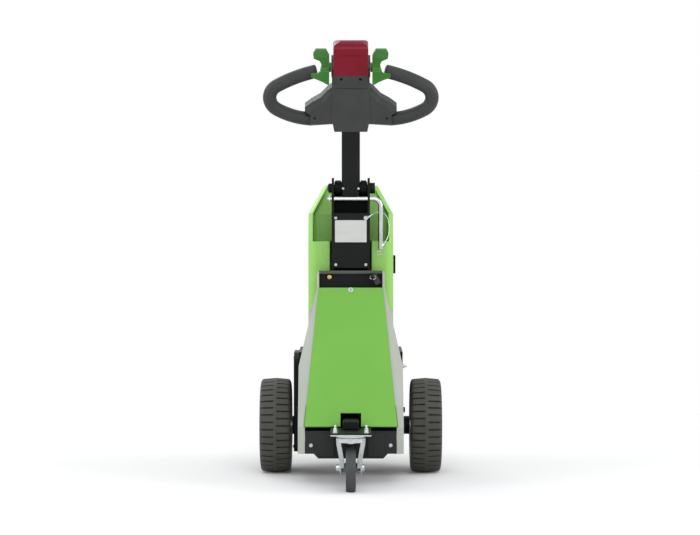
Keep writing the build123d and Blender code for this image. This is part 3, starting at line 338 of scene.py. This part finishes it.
# Nylon is waxy and mid grey.
grey_nylon = finish(
    "nylon_moulded_grey", "#6d6f70", "#747677", patch_mm=40, rough=0.5, uneven=0.05,
    grain_mm=1.0, depth_mm=0.02, IOR=1.53,
)
dress(charcoal_abs, "tiller_head")
dress(
    black_abs, "beam_end_cap", "console_panel", "key_switch", "socket_flap", "battery_block",
    "head_buttons",
)
dress(grip_vinyl, "grip_left", "grip_right")
dress(grey_nylon, "caster_hub")

# %% [markdown]
# ## Rubber and metals
# Drive tyres are carbon-black rubber with a brownish dust, the caster's tread is grey non-marking rubber.
# Small hardware is bright zinc: a thin crystalline film with a cold tint. The locking pin and its wire are
# plain bright steel, the rims silver lacquer, the lamp's ring brass. Metals could be perfect mirrors, but
# handled hardware is not, so each keeps some roughness and fine patches.

# %% Rubbers
# Carbon-black rubber has no shine, and its dust turns it warm.
tyre_rubber = finish(
    "rubber_carbon_black", "#3f3f3a", "#4a4a44", patch_mm=30, rough=0.72, uneven=0.08,
    grain_mm=1.1, depth_mm=0.05, IOR=1.52,
)
# Non-marking rubber is colder and a little smoother.
caster_rubber = finish(
    "rubber_grey_caster", "#3d4142", "#45494a", patch_mm=25, rough=0.62, uneven=0.06,
    grain_mm=1.0, depth_mm=0.03, IOR=1.52,
)
dress(caster_rubber, "caster_tyre")

# %% Zinc, steel, lacquer, brass and a casting
# Zinc's film is cold and slightly patchy, part metal and part pale haze.
bright_zinc = finish(
    "steel_bright_zinc", "#c3cac8", "#d4dad8", patch_mm=9, rough=0.3, uneven=0.08,
    grain_mm=1.6, depth_mm=0.012, metallic=0.7,
)
# Polished steel mirrors its surroundings in long streaks.
bright_steel = finish(
    "steel_polished", "#d6d9da", "#dfe2e2", patch_mm=30, rough=0.18, uneven=0.05,
    grain_mm=1.2, depth_mm=0.004, metallic=1.0,
)
# Metallic lacquer is a soft silver, because its flakes lie at many angles.
silver_lacquer = finish(
    "lacquer_silver_metallic", "#b9bcbe", "#c2c5c6", patch_mm=40, rough=0.34, uneven=0.05,
    grain_mm=0.6, depth_mm=0.008, metallic=0.7,
)
# Brass is a warm mirror.
brass = finish(
    "brass_polished", "#d9c27a", "#cdb468", patch_mm=8, rough=0.25, uneven=0.05,
    grain_mm=0.9, depth_mm=0.006, metallic=1.0,
)
# A painted casting keeps the coarse skin of its sand mould.
casting = finish(
    "cast_iron_painted", "#2a2c2d", "#343637", patch_mm=25, rough=0.6, uneven=0.08,
    grain_mm=1.8, depth_mm=0.12, IOR=1.5,
)
dress(
    bright_zinc, "stub_axle_left", "stub_axle_right", "caster_plate", "caster_fork", "caster_axle",
    "cover_lock", "lanyard_eyelet",
)
dress(bright_steel, "locking_pin")
dress(silver_lacquer, "rim_left", "rim_right")
dress(brass, "panel_lamp")
dress(casting, "drive_unit")

# %% [markdown]
# ## Brushed aluminium
# The name plate on the mast is bare brushed aluminium, with lines about 0.3 mm apart along its length.
# Round noise can't give lines, so here it is stretched along the plate. In the picture a line that fine
# would vanish, so it is drawn 0.8 mm wide.

# %% Brushed aluminium with long lines
LINE_LENGTH_MM, LINE_WIDTH_MM = 60.0, 0.8
LINE_DEPTH_MM, LINE_STRENGTH, LINE_DETAIL = 0.02, 0.3, 3.0

# Brushing turns a mirror into a pale satin with streaks along the plate.
plate_metal, tree = blank("aluminium_brushed")
where = add(tree, "TexCoord")
along, across = 1 / (LINE_LENGTH_MM * MM), 1 / (LINE_WIDTH_MM * MM)
stretch = add(tree, "Mapping", {"Vector": (where, "Object"), "Scale": (along, across, across)})
lines = add(tree, "TexNoise", {"Vector": (stretch, 0), "Scale": 1.0, "Detail": LINE_DETAIL})
tint = add(tree, "Mix", {0: (lines, 0), 6: linear("#bdbeba"), 7: linear("#d5d6d2")}, data_type="RGBA")
gloss = add(tree, "MapRange", {"Value": (lines, 0), "To Min": 0.38, "To Max": 0.55})
relief = add(tree, "Bump", {
    "Strength": LINE_STRENGTH, "Distance": LINE_DEPTH_MM * MM, "Height": (lines, 0),
})
shader = add(tree, "BsdfPrincipled", {
    "Base Color": (tint, 2), "Roughness": (gloss, 0), "Normal": (relief, 0), "Metallic": 0.85,
})
add(tree, "OutputMaterial", {"Surface": (shader, 0)})
print(plate_metal.name, "with lines", LINE_WIDTH_MM, "mm wide")

# %% [markdown]
# ## Making a piece
# Every added piece is drawn in a bmesh, which holds points and faces until they become a mesh. Most are
# rings of points with a band of faces from each ring to the next. The piece then gets its finish and rides
# on the body that carries it, so it follows when a joint moves. Faces are shaded smooth, and only edges
# past a set angle stay sharp.

# %% From a bmesh to a piece
SHARP_DEGREES = 35


def piece(name, bm, material, body):
    """Turn a bmesh into a piece of the object that rides on a body."""
    bmesh.ops.recalc_face_normals(bm, faces=bm.faces)
    mesh = bpy.data.meshes.new(name)
    bm.to_mesh(mesh)
    bm.free()
    mesh.shade_smooth()
    mesh.set_sharp_from_angle(angle=radians(SHARP_DEGREES))
    mesh.materials.append(material)
    made = bpy.data.objects.new(name, mesh)
    scene.collection.objects.link(made)
    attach(made, body)
    print(name, len(mesh.polygons), "faces on", body)
    return made


def band(bm, a, b):
    """A closed band of faces between two rings with the same number of points."""
    for k in range(len(a)):
        j = (k + 1) % len(a)
        bm.faces.new((a[k], a[j], b[j], b[k]))


print("edges past", SHARP_DEGREES, "degrees stay sharp")

# %% [markdown]
# ## Drive tyres
# The tyres have two rows of narrow blocks either side of a thin centre rib, the rows half a pitch apart.
# Grooves could be cut with booleans, which leaves ragged faces. Here a tyre is one sheet: a profile goes
# round the axle, and where a groove crosses, the points drop by its depth. The steps round the wheel are
# chosen at the grooves' edges, so each block keeps crisp, slightly rounded edges.

# %% Half the tyre's section
TYRE_R, TYRE_HALF, TREAD_HALF = 130.0, 42.5, 34.0
SHOULDER_R, SHOULDER_H, SHOULDER_STEPS = 127.0, 18.0, 5
BEAD_R, SIDE_R, BEAD_X, FLANGE_X = 52.3, 61.3, 27.2, 34.0
WALL_H, WALL_STEPS = 36.0, 6
RIB_HALF, RIB_EDGE, RIB_EDGE_DROP, RIB_FOOT_DROP = 5.0, 0.6, 0.4, 0.5
BLOCK_X = (14.0, 24.0, TREAD_HALF)
# The grooves' depth fades out over the shoulder by this power.
GROOVE_FADE = 0.6
# A fine line runs round the wall: drop below the shoulder, and depth.
WALL_LINE = ((2.5, 0.0), (4.0, 0.9), (5.5, 0.0))


def tyre_profile():
    """Half the section as (x, radius, share of the groove's depth), from the centre rib to the bead."""
    line = [
        (0.0, TYRE_R, 0.0),
        (RIB_HALF - RIB_EDGE, TYRE_R - RIB_EDGE_DROP, 0.0),
        (RIB_HALF, TYRE_R - RIB_FOOT_DROP, 1.0),
    ]
    for x in BLOCK_X:
        line.append((x, TYRE_R - (TYRE_R - SHOULDER_R) * x / TREAD_HALF, 1.0))
    for step in range(1, SHOULDER_STEPS + 1):
        share = step / SHOULDER_STEPS
        x = TREAD_HALF + (TYRE_HALF - TREAD_HALF) * sin(share * pi / 2)
        r = SHOULDER_R - SHOULDER_H * (1 - cos(share * pi / 2))
        line.append((x, r, (1 - share) ** GROOVE_FADE))
    for drop, depth in WALL_LINE:
        line.append((TYRE_HALF - depth, SHOULDER_R - SHOULDER_H - drop, 0.0))
    for step in range(WALL_STEPS + 1):
        swing = step / WALL_STEPS * pi / 2
        x = FLANGE_X + (TYRE_HALF - FLANGE_X) * cos(swing)
        line.append((x, SIDE_R + WALL_H * (1 - sin(swing)), 0.0))
    line += [(BEAD_X, SIDE_R, 0.0), (BEAD_X, BEAD_R, 0.0)]
    return line


print(len(tyre_profile()), "points in half a section")

# %% Grooves round the wheel
PITCHES = 40
GROOVE_W, GROOVE_DEPTH = 4.4, 6.5
BLOCK_EDGE, EDGE_SHARE, GROOVE_SLOPE = 0.8, 0.12, 0.5


def groove_steps():
    """Angles round the wheel, each with the share of depth for the outer row and the inner row."""
    half = GROOVE_W / 2
    cut = [
        (-half - BLOCK_EDGE, 0.0), (-half, EDGE_SHARE), (-half + GROOVE_SLOPE, 1.0),
        (half - GROOVE_SLOPE, 1.0), (half, EDGE_SHARE), (half + BLOCK_EDGE, 0.0),
    ]
    pitch = 2 * pi / PITCHES
    steps = []
    for k in range(PITCHES):
        for row in (0, 1):
            middle = (k + row / 2) * pitch
            for along, share in cut:
                steps.append((middle + along / TYRE_R, (share, 0.0) if row == 0 else (0.0, share)))
            steps.append((middle + pitch / 4, (0.0, 0.0)))
    return steps


print(len(groove_steps()), "steps round the wheel")

# %% Tread tyres
SIDES = ((-1, "left"), (1, "right"))


def tread_tyre(side, name, centre):
    """One drive tyre about the axle through centre."""
    half = tyre_profile()
    section = [(x, r, d, 0) for x, r, d in reversed(half)] + [(-x, r, d, 1) for x, r, d in half[1:]]
    bm = bmesh.new()
    rings = []
    for angle, shares in groove_steps():
        ring = []
        for x, r, depth, row in section:
            r = r - GROOVE_DEPTH * depth * shares[row]
            ring.append(bm.verts.new(centre + Vector((side * x, r * cos(angle), r * sin(angle))) * MM))
        rings.append(ring)
    for a, b in zip(rings, rings[1:] + rings[:1]):
        band(bm, a, b)
    return piece(f"tread_tyre_{name}", bm, tyre_rubber, f"{name}_wheel")


for side, name in SIDES:
    low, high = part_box(f"tyre_{name}")
    tyre = tread_tyre(side, name, (low + high) / 2)
    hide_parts(f"tyre_{name}")

# %% [markdown]
# ## Wheel nuts
# Each rim is held by four nuts on washers round the hub. A cylinder with a bevel would do for one nut. A
# turned form, a short profile swept round its axis, does for nuts, washers, studs and screw heads alike:
# with six steps the same sweep is a hexagon.

# %% Turned forms and hexagons
WASHER_T, WASHER_EDGE = 1.6, 0.4
CROWN_H, CROWN_SHARE = 1.0, 0.87


def seat(point, axis):
    """Frame at a point whose Z runs along an axis."""
    return Matrix.Translation(point) @ Vector(axis).to_track_quat("Z", "Y").to_matrix().to_4x4()


def turned(bm, profile, place, steps=28):
    """Sweep (radius, height) pairs, in millimetres, round a frame's Z, from the axis back to it."""
    rings = []
    for radius, height in profile:
        if radius == 0:
            rings.append([bm.verts.new(place @ Vector((0, 0, height * MM)))])
            continue
        spokes = [2 * pi * k / steps for k in range(steps)]
        rings.append([
            bm.verts.new(place @ (Vector((radius * cos(a), radius * sin(a), height)) * MM)) for a in spokes
        ])
    for low, high in zip(rings, rings[1:]):
        for k in range(steps):
            j = k + 1
            corners = [low[k % len(low)], low[j % len(low)], high[j % len(high)], high[k % len(high)]]
            bm.faces.new(list(dict.fromkeys(corners)))


def hex_bolt(bm, point, axis, flats, head, washer_r):
    """A hexagon head with a chamfered crown on a washer. Sizes in millimetres."""
    place = seat(point, axis)
    turned(bm, [
        (0, 0), (washer_r, 0), (washer_r, WASHER_T - WASHER_EDGE), (washer_r - WASHER_EDGE, WASHER_T),
        (0, WASHER_T),
    ], place)
    corner, top = flats / sqrt(3), WASHER_T + head
    turned(bm, [
        (0, WASHER_T), (corner, WASHER_T), (corner, top - CROWN_H), (corner * CROWN_SHARE, top), (0, top),
    ], place, steps=6)


print("a hexagon's corners reach", round(2 / sqrt(3), 3), "times its flats")

# %% Wheel nuts
NUTS, NUT_RING, NUT_OUT = 4, 40.0, 9.0
# Width across flats, height and the washer's radius.
NUT_SIZE = (13, 7, 8.5)

for side, name in SIDES:
    low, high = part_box(f"rim_{name}")
    centre = (low + high) / 2
    bm = bmesh.new()
    for k in range(NUTS):
        swing = pi / 4 + k * 2 * pi / NUTS
        spot = centre + Vector((side * NUT_OUT, NUT_RING * cos(swing), NUT_RING * sin(swing))) * MM
        hex_bolt(bm, spot, (side, 0, 0), *NUT_SIZE)
    piece(f"wheel_nuts_{name}", bm, bright_zinc, f"{name}_wheel")

# %% [markdown]
# ## Caster bolts
# The caster is bolted under the beam's plate by four bolts whose threaded ends and nuts stand up beside
# the beam. A thread this fine can't be seen from standing distance, so each end is a plain stud with a
# chamfered tip.

# %% Caster bolts
UP, FRONT, BACK = (0, 0, 1), (0, -1, 0), (0, 1, 0)
BOLT_X, BOLT_Y, BEAM_PLATE_TOP = 40.0, 30.0, 159.0
BOLT_SIZE = (9, 5, 6)
# Radius, radius at the tip, and the heights of foot, chamfer and tip.
BOLT_END = (2.9, 2.3, 6, 13, 14)
STUD_STEPS = 16


def stud(bm, point, axis, radius, tip_r, foot, chamfer, tip):
    """A round stud that narrows to its tip. Sizes in millimetres."""
    profile = [(0, foot), (radius, foot), (radius, chamfer), (tip_r, tip), (0, tip)]
    turned(bm, profile, seat(point, axis), STUD_STEPS)


low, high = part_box("caster_plate")
swivel = (low + high) / 2
bm = bmesh.new()
for sx in (-1, 1):
    for sy in (-1, 1):
        spot = Vector((sx * BOLT_X * MM, swivel.y + sy * BOLT_Y * MM, BEAM_PLATE_TOP * MM))
        hex_bolt(bm, spot, UP, *BOLT_SIZE)
        stud(bm, spot, UP, *BOLT_END)
piece("caster_bolts", bm, bright_zinc, "chassis")

# %% [markdown]
# ## Screws on the body and mast
# The front panel hangs on two bolts with washers, set back behind its two raised lobes. The mast's front
# plate is held by four small socket screws, and one pointed bolt stands out of the right-hand panel. A
# painted dot would vanish from the side, so each of them is a turned form that stands on its plate.

# %% Front panel bolts
PANEL_BOLT_X, PANEL_BOLT_Z, PANEL_LOBE = 104.0, 112.0, 4.0
PANEL_BOLT_SIZE = (7, 4, 5)

panel_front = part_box("front_panel")[0].y
bm = bmesh.new()
for sx in (-1, 1):
    spot = Vector((sx * PANEL_BOLT_X * MM, panel_front + PANEL_LOBE * MM, PANEL_BOLT_Z * MM))
    hex_bolt(bm, spot, FRONT, *PANEL_BOLT_SIZE)
piece("front_panel_bolts", bm, bright_zinc, "chassis")

# %% Mast plate screws
SCREW_X, SCREW_HIGH, SCREW_LOW = 41.0, 703.0, 576.0
# Head radius, head height and socket radius.
PLATE_SCREW = (4.2, 2.6, 1.9)
# Shares of a head's height and radius, and of its socket.
RIM_AT, CROWN_R, SOCKET_FLOOR_R, SOCKET_FLOOR_AT, SOCKET_TIP_AT = 0.5, 0.82, 0.92, 0.35, 0.3


def socket_screw(bm, point, axis, radius, head, socket):
    """A low round head with a rounded rim and a socket in it. Sizes in millimetres."""
    turned(bm, [
        (0, 0), (radius, 0), (radius, head * RIM_AT), (radius * CROWN_R, head), (socket, head),
        (socket * SOCKET_FLOOR_R, head * SOCKET_FLOOR_AT), (0, head * SOCKET_TIP_AT),
    ], seat(point, axis))


mast_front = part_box("mast_cover_plate")[0].y
bm = bmesh.new()
for sx in (-1, 1):
    for z in (SCREW_LOW, SCREW_HIGH):
        socket_screw(bm, Vector((sx * SCREW_X * MM, mast_front, z * MM)), FRONT, *PLATE_SCREW)
piece("mast_plate_screws", bm, bright_zinc, "chassis")

# %% Side panel bolt
SIDE_BOLT_Y, SIDE_BOLT_Z = -95.0, 301.0
SIDE_BOLT_SIZE = (11, 6, 8)
SIDE_BOLT_END = (3.4, 0.6, 7.6, 10.5, 15)

side_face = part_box("side_panel_right")[1].x
bm = bmesh.new()
spot = Vector((side_face, AXLE_Y + SIDE_BOLT_Y * MM, SIDE_BOLT_Z * MM))
hex_bolt(bm, spot, (1, 0, 0), *SIDE_BOLT_SIZE)
stud(bm, spot, (1, 0, 0), *SIDE_BOLT_END)
piece("side_panel_bolt", bm, bright_zinc, "chassis")

# %% [markdown]
# ## Bare name plate
# A thin plate with rounded corners is set on the mast's front plate between its screws. A scaled cube with
# a bevel would round all its edges alike, so the outline is drawn with wide corners and then lifted in
# four rings, which leaves a fine edge.

# %% Name plate
PLATE_W, PLATE_H, PLATE_T, PLATE_CORNER, PLATE_Z = 86.0, 60.0, 0.9, 2.0, 667.0
CORNER_STEPS = 4
EDGE_MOST = 0.35


def tablet(bm, place, width, height, thick, corner):
    """A flat tablet with rounded corners and a soft edge, in a frame's XY plane. Sizes in millimetres."""
    outline = []
    for cx, cy, start in ((1, 1, 0), (-1, 1, 1), (-1, -1, 2), (1, -1, 3)):
        for step in range(CORNER_STEPS + 1):
            a = (start + step / CORNER_STEPS) * pi / 2
            outline.append((cx * (width / 2 - corner), cy * (height / 2 - corner), cos(a), sin(a)))
    edge = min(EDGE_MOST, thick / 4)
    rings = []
    for inset, z in ((edge, 0), (0, edge), (0, thick - edge), (edge, thick)):
        reach = corner - inset
        rings.append([
            bm.verts.new(place @ (Vector((x + reach * c, y + reach * s, z)) * MM)) for x, y, c, s in outline
        ])
    for a, b in zip(rings, rings[1:]):
        band(bm, a, b)
    bm.faces.new(rings[0])
    bm.faces.new(rings[-1])


bm = bmesh.new()
place = seat(Vector((0, mast_front, PLATE_Z * MM)), FRONT)
tablet(bm, place, PLATE_W, PLATE_H, PLATE_T, PLATE_CORNER)
piece("name_plate_blank", bm, plate_metal, "chassis")

# %% [markdown]
# ## Key ring and plain tag
# The key in the console carries a split ring and a plain dark tag. A torus primitive could be the ring,
# but it would have to be turned afterwards, so a small function draws it where it hangs. The lid's upper
# edge swings up and out past the key, so the tag hangs close to the console, behind and above the edge's
# way.

# %% Key ring
RING_R, RING_WIRE = 8.0, 0.9
RING_LEAN = Vector((0.26, 0.75, 0.61)).normalized()
KEY_EYE_IN = 5.5
HOOP_STEPS, HOOP_SECTION = 28, 8


def hoop(bm, place, radius, wire):
    """A ring of round wire about a frame's Z, in millimetres."""
    spins = [2 * pi * j / HOOP_SECTION for j in range(HOOP_SECTION)]
    section = [(radius + wire * cos(b), wire * sin(b)) for b in spins]
    loops = []
    for k in range(HOOP_STEPS):
        a = 2 * pi * k / HOOP_STEPS
        loops.append([bm.verts.new(place @ (Vector((r * cos(a), r * sin(a), z)) * MM)) for r, z in section])
    for a, b in zip(loops, loops[1:] + loops[:1]):
        band(bm, a, b)


low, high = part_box("key_switch")
key_eye = Vector(((low.x + high.x) / 2, low.y + KEY_EYE_IN * MM, (low.z + high.z) / 2))
ring_centre = key_eye + RING_LEAN * RING_R * MM
bm = bmesh.new()
hoop(bm, seat(ring_centre, RING_LEAN.cross((1, 0, 0))), RING_R, RING_WIRE)
piece("key_ring", bm, bright_steel, "chassis")

# %% Key tag
TAG_W, TAG_L, TAG_T, TAG_CORNER = 16.0, 30.0, 3.0, 3.0
TAG_LEAN = radians(30)
TAG_HOLE = 4.0

tag_axis = Vector((sin(TAG_LEAN), 0, -cos(TAG_LEAN)))
tag_centre = ring_centre + RING_LEAN * RING_R * MM + tag_axis * (TAG_L / 2 - TAG_HOLE) * MM
tag_place = Matrix.Translation(tag_centre) @ Matrix((
    (cos(TAG_LEAN), sin(TAG_LEAN), 0, 0),
    (0, 0, -1, 0),
    (sin(TAG_LEAN), -cos(TAG_LEAN), 0, 0),
    (0, 0, 0, 1),
)) @ Matrix.Translation((0, 0, -TAG_T / 2 * MM))
bm = bmesh.new()
tablet(bm, tag_place, TAG_W, TAG_L, TAG_T, TAG_CORNER)
piece("key_tag_plain", bm, charcoal_abs, "chassis")

# %% [markdown]
# ## Wire lanyard
# A thin steel wire runs from an eyelet on the mast to the end of the locking pin. It is springy, so it
# stands in a bow of its own. A mesh tube would need its own rings. A curve with a round bevel is simpler,
# and one spline follows the same points as the solid model's tube.

# %% Lanyard
LANYARD = (
    (52, -87, 708.5), (62, -80, 715), (70, -61, 718.5), (84, -53.5, 719), (96, -53, 711), (103, -54, 695),
    (105, -57, 676), (103, -60, 657), (98.5, -63, 643), (90, -66.5, 632),
)
LANYARD_R = 1.0

curve = bpy.data.curves.new("pin_wire", "CURVE")
curve.dimensions = "3D"
curve.bevel_depth = LANYARD_R * MM
curve.bevel_resolution = 3
curve.use_fill_caps = True
spline = curve.splines.new("NURBS")
spline.points.add(len(LANYARD) - 1)
for point, (x, y, z) in zip(spline.points, LANYARD):
    point.co = (x * MM, AXLE_Y + y * MM, z * MM, 1)
spline.order_u = 3
spline.use_endpoint_u = True
spline.resolution_u = 8
curve.materials.append(bright_steel)
wire = bpy.data.objects.new("pin_wire", curve)
scene.collection.objects.link(wire)
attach(wire, "chassis")
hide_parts("pin_lanyard")

# %% [markdown]
# ## Springs and screws at the tiller's foot
# Two black torsion springs sit round the tiller's boss, one each side of the arm, and two screws hold the
# arm. A screw modifier could wind a spring, but a ring of points carried round the axis needs no helper
# object.

# %% Tiller springs
SPRING_R, SPRING_WIRE, SPRING_TURNS = 20.4, 1.8, 5
SPRING_IN, SPRING_OUT = 28.0, 43.0
TILLER_Y, PIVOT_Z = -35.0, 784.0
COIL_STEPS, COIL_SECTION = 22, 7


def coil(bm, centre, radius, wire, turns, start, end):
    """A wire coil about X, from one place along X to another. Sizes in millimetres."""
    spins = [2 * pi * j / COIL_SECTION for j in range(COIL_SECTION)]
    section = [(radius + wire * cos(b), wire * sin(b)) for b in spins]
    count = turns * COIL_STEPS
    rings = []
    for k in range(count + 1):
        a = 2 * pi * k / COIL_STEPS
        x = start + (end - start) * k / count
        rings.append([
            bm.verts.new(centre + Vector((x + s, r * cos(a), r * sin(a))) * MM) for r, s in section
        ])
    for a, b in zip(rings, rings[1:]):
        band(bm, a, b)
    bm.faces.new(rings[0])
    bm.faces.new(rings[-1])


arm_pivot = Vector((0, AXLE_Y + TILLER_Y * MM, PIVOT_Z * MM))
bm = bmesh.new()
for side in (-1, 1):
    coil(bm, arm_pivot, SPRING_R, SPRING_WIRE, SPRING_TURNS, side * SPRING_IN, side * SPRING_OUT)
piece("tiller_springs", bm, black_coat, "tiller")

# %% Arm foot screws
FOOT_SCREW = (3.6, 3.0, 1.6)
FOOT_SCREW_X, FOOT_SCREW_Z = 21.0, 783.0

arm_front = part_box("tiller_arm")[0].y
bm = bmesh.new()
for side in (-1, 1):
    spot = Vector((side * FOOT_SCREW_X * MM, arm_front, FOOT_SCREW_Z * MM))
    socket_screw(bm, spot, FRONT, *FOOT_SCREW)
piece("arm_foot_screws", bm, bright_zinc, "tiller")

# %% [markdown]
# ## Clip and eye of the locking pin
# A wire clip keeps the pin's left end in its hole, and a bent wire eye hangs at its foot. Both are hoops
# like the key ring, so the same function draws them.

# %% Clip and eye
PIN_R = 6.2
CLIP_R, CLIP_WIRE, CLIP_IN = 7.6, 1.1, 5.0
CLIP_AXIS = (1, 0.25, 0)
EYE_R, EYE_DROP = 5.2, 14.0
EYE_LEAN = Vector((-0.62, 0, -0.78))
STEM_FROM, STEM_TO, STEM_STEPS = -2, 9, 10

low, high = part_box("locking_pin")
bm = bmesh.new()
clip = Vector((low.x + CLIP_IN * MM, high.y - PIN_R * MM, high.z - PIN_R * MM))
hoop(bm, seat(clip, CLIP_AXIS), CLIP_R, CLIP_WIRE)
piece("pin_clip_ring", bm, bright_steel, "chassis")

pin_foot = Vector((high.x - PIN_R * MM, high.y - PIN_R * MM, low.z))
stem = [(0, STEM_FROM), (CLIP_WIRE, STEM_FROM), (CLIP_WIRE, STEM_TO), (0, STEM_TO)]
bm = bmesh.new()
turned(bm, stem, seat(pin_foot, EYE_LEAN), STEM_STEPS)
hoop(bm, seat(pin_foot + EYE_LEAN * EYE_DROP * MM, FRONT), EYE_R, CLIP_WIRE)
piece("pin_foot_eye", bm, bright_steel, "chassis")

# %% [markdown]
# ## Small fasteners
# Dark screws close the head's two halves and the cheeks, and screws hold the rear plate, the chain case
# and the deck. The lid's lock gets a thin black tablet for its key slot, its black painted shade of the
# slot's hollow. The head leans and the lid slopes, so their points are worked out along the lean and the
# slope, not in the machine's upright axes.

# %% Head screws
HEAD_LEAN = radians(25)
HEAD_FOOT_Z = 949.0
# Across, along the lean and out of the head's middle plane.
HALVES_SPOT, HALVES_SCREW = (26, 154, 24), (3.4, 2.4, 1.6)
CHEEK_SPOT, CHEEK_SCREW = (98, 38, 23), (3.2, 1.2, 1.5)

head_foot = Vector((0, AXLE_Y + TILLER_Y * MM, HEAD_FOOT_Z * MM))
head_up = Vector((0, -sin(HEAD_LEAN), cos(HEAD_LEAN)))
head_out = Vector((0, -cos(HEAD_LEAN), -sin(HEAD_LEAN)))
bm = bmesh.new()
for side in (-1, 1):
    for (x, along, out), screw in ((HALVES_SPOT, HALVES_SCREW), (CHEEK_SPOT, CHEEK_SCREW)):
        spot = head_foot + (Vector((side * x, 0, 0)) + head_up * along + head_out * out) * MM
        socket_screw(bm, spot, head_out, *screw)
piece("head_screws", bm, black_abs, "tiller")

# %% Slot of the lid's lock
SLOPE_RUN, SLOPE_RISE = 234.0, 354.0
SLOT_W, SLOT_L, SLOT_T, SLOT_CORNER = 1.8, 7.0, 0.4, 0.4
FACE_DEPTH = 0.1

slope_out = Vector((0, -SLOPE_RISE, SLOPE_RUN)).normalized()
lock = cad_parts["cover_lock"]
corners = [lock.matrix_world @ v.co for v in lock.data.vertices]
lock_top = max(c.dot(slope_out) for c in corners)
rim = [c for c in corners if c.dot(slope_out) > lock_top - FACE_DEPTH * MM]
lock_face = sum(rim, Vector()) / len(rim)
# The slot is a black tablet standing on the lock's face, not a cut: its black is painted shade of the
# hollow.
bm = bmesh.new()
tablet(bm, seat(lock_face, slope_out), SLOT_W, SLOT_L, SLOT_T, SLOT_CORNER)
piece("cover_lock_slot_painted_shade", bm, black_abs, "cover")

# %% Chassis screws
REAR_SCREW, DECK_SCREW = (5.0, 3.0, 2.2), (4.0, 2.4, 1.8)
REAR_X, REAR_ABOVE, REAR_BELOW = 118.0, 18.0, 14.0
DECK_X, DECK_IN = 128.0, 12.0
# Distances from the chain case's front and back edges, along its foot and along its top.
CASE_IN, CASE_FOOT, CASE_TOP = 14.0, (14.0, 46.0), (50.0, 40.0)

rear_low, rear_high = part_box("chassis_rear_plate")
case_low, case_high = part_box("chain_case")
deck_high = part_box("chassis_deck")[1]
bm = bmesh.new()
for side in (-1, 1):
    for z in (rear_low.z + REAR_ABOVE * MM, rear_high.z - REAR_BELOW * MM):
        socket_screw(bm, Vector((side * REAR_X * MM, rear_high.y, z)), BACK, *REAR_SCREW)
    spot = Vector((side * DECK_X * MM, deck_high.y - DECK_IN * MM, deck_high.z))
    socket_screw(bm, spot, UP, *DECK_SCREW)
for z, (front, back) in ((case_low.z + CASE_IN * MM, CASE_FOOT), (case_high.z - CASE_IN * MM, CASE_TOP)):
    for y in (case_low.y + front * MM, case_high.y - back * MM):
        socket_screw(bm, Vector((case_low.x, y, z)), (-1, 0, 0), *PLATE_SCREW)
piece("chassis_screws", bm, bright_zinc, "chassis")

# %% [markdown]
# ## Bead beside the lid's foot
# Below its hinge the lid's foot swings inwards, so the side panels are cut back there. A narrow grey bead
# lines each cut, a millimetre clear of the lid, so that no dark slot shows. It is one small section drawn
# at both ends of the cut and joined.

# %% Bead along each cut
FOOT_Y, FOOT_Z = -338.0, 160.0
LID_FOOT_HALF, LID_NARROWS = 122.0, 34.0 / SLOPE_RISE
BEAD_CLEAR, BEAD_RISE = 1.0, 52.0
# Across from the lid, and out of the slope.
BEAD = ((2.3, -2.5), (2.3, 0.0), (0.9, 0.0), (0.3, -0.2), (0.0, -0.7), (0.0, -2.5))

slope_foot = Vector((0, AXLE_Y + FOOT_Y * MM, FOOT_Z * MM))
bm = bmesh.new()
for side in (-1, 1):
    ends = []
    for rise in (0.0, BEAD_RISE):
        edge = LID_FOOT_HALF - LID_NARROWS * rise + BEAD_CLEAR
        along = Vector((0, SLOPE_RUN / SLOPE_RISE, 1)) * rise
        ends.append([
            bm.verts.new(slope_foot + (along + Vector((side * (edge + x), 0, 0)) + slope_out * out) * MM)
            for x, out in BEAD
        ])
    band(bm, *ends)
    for ring in ends:
        bm.faces.new(ring)
piece("lid_side_bead", bm, grey_coat, "chassis")
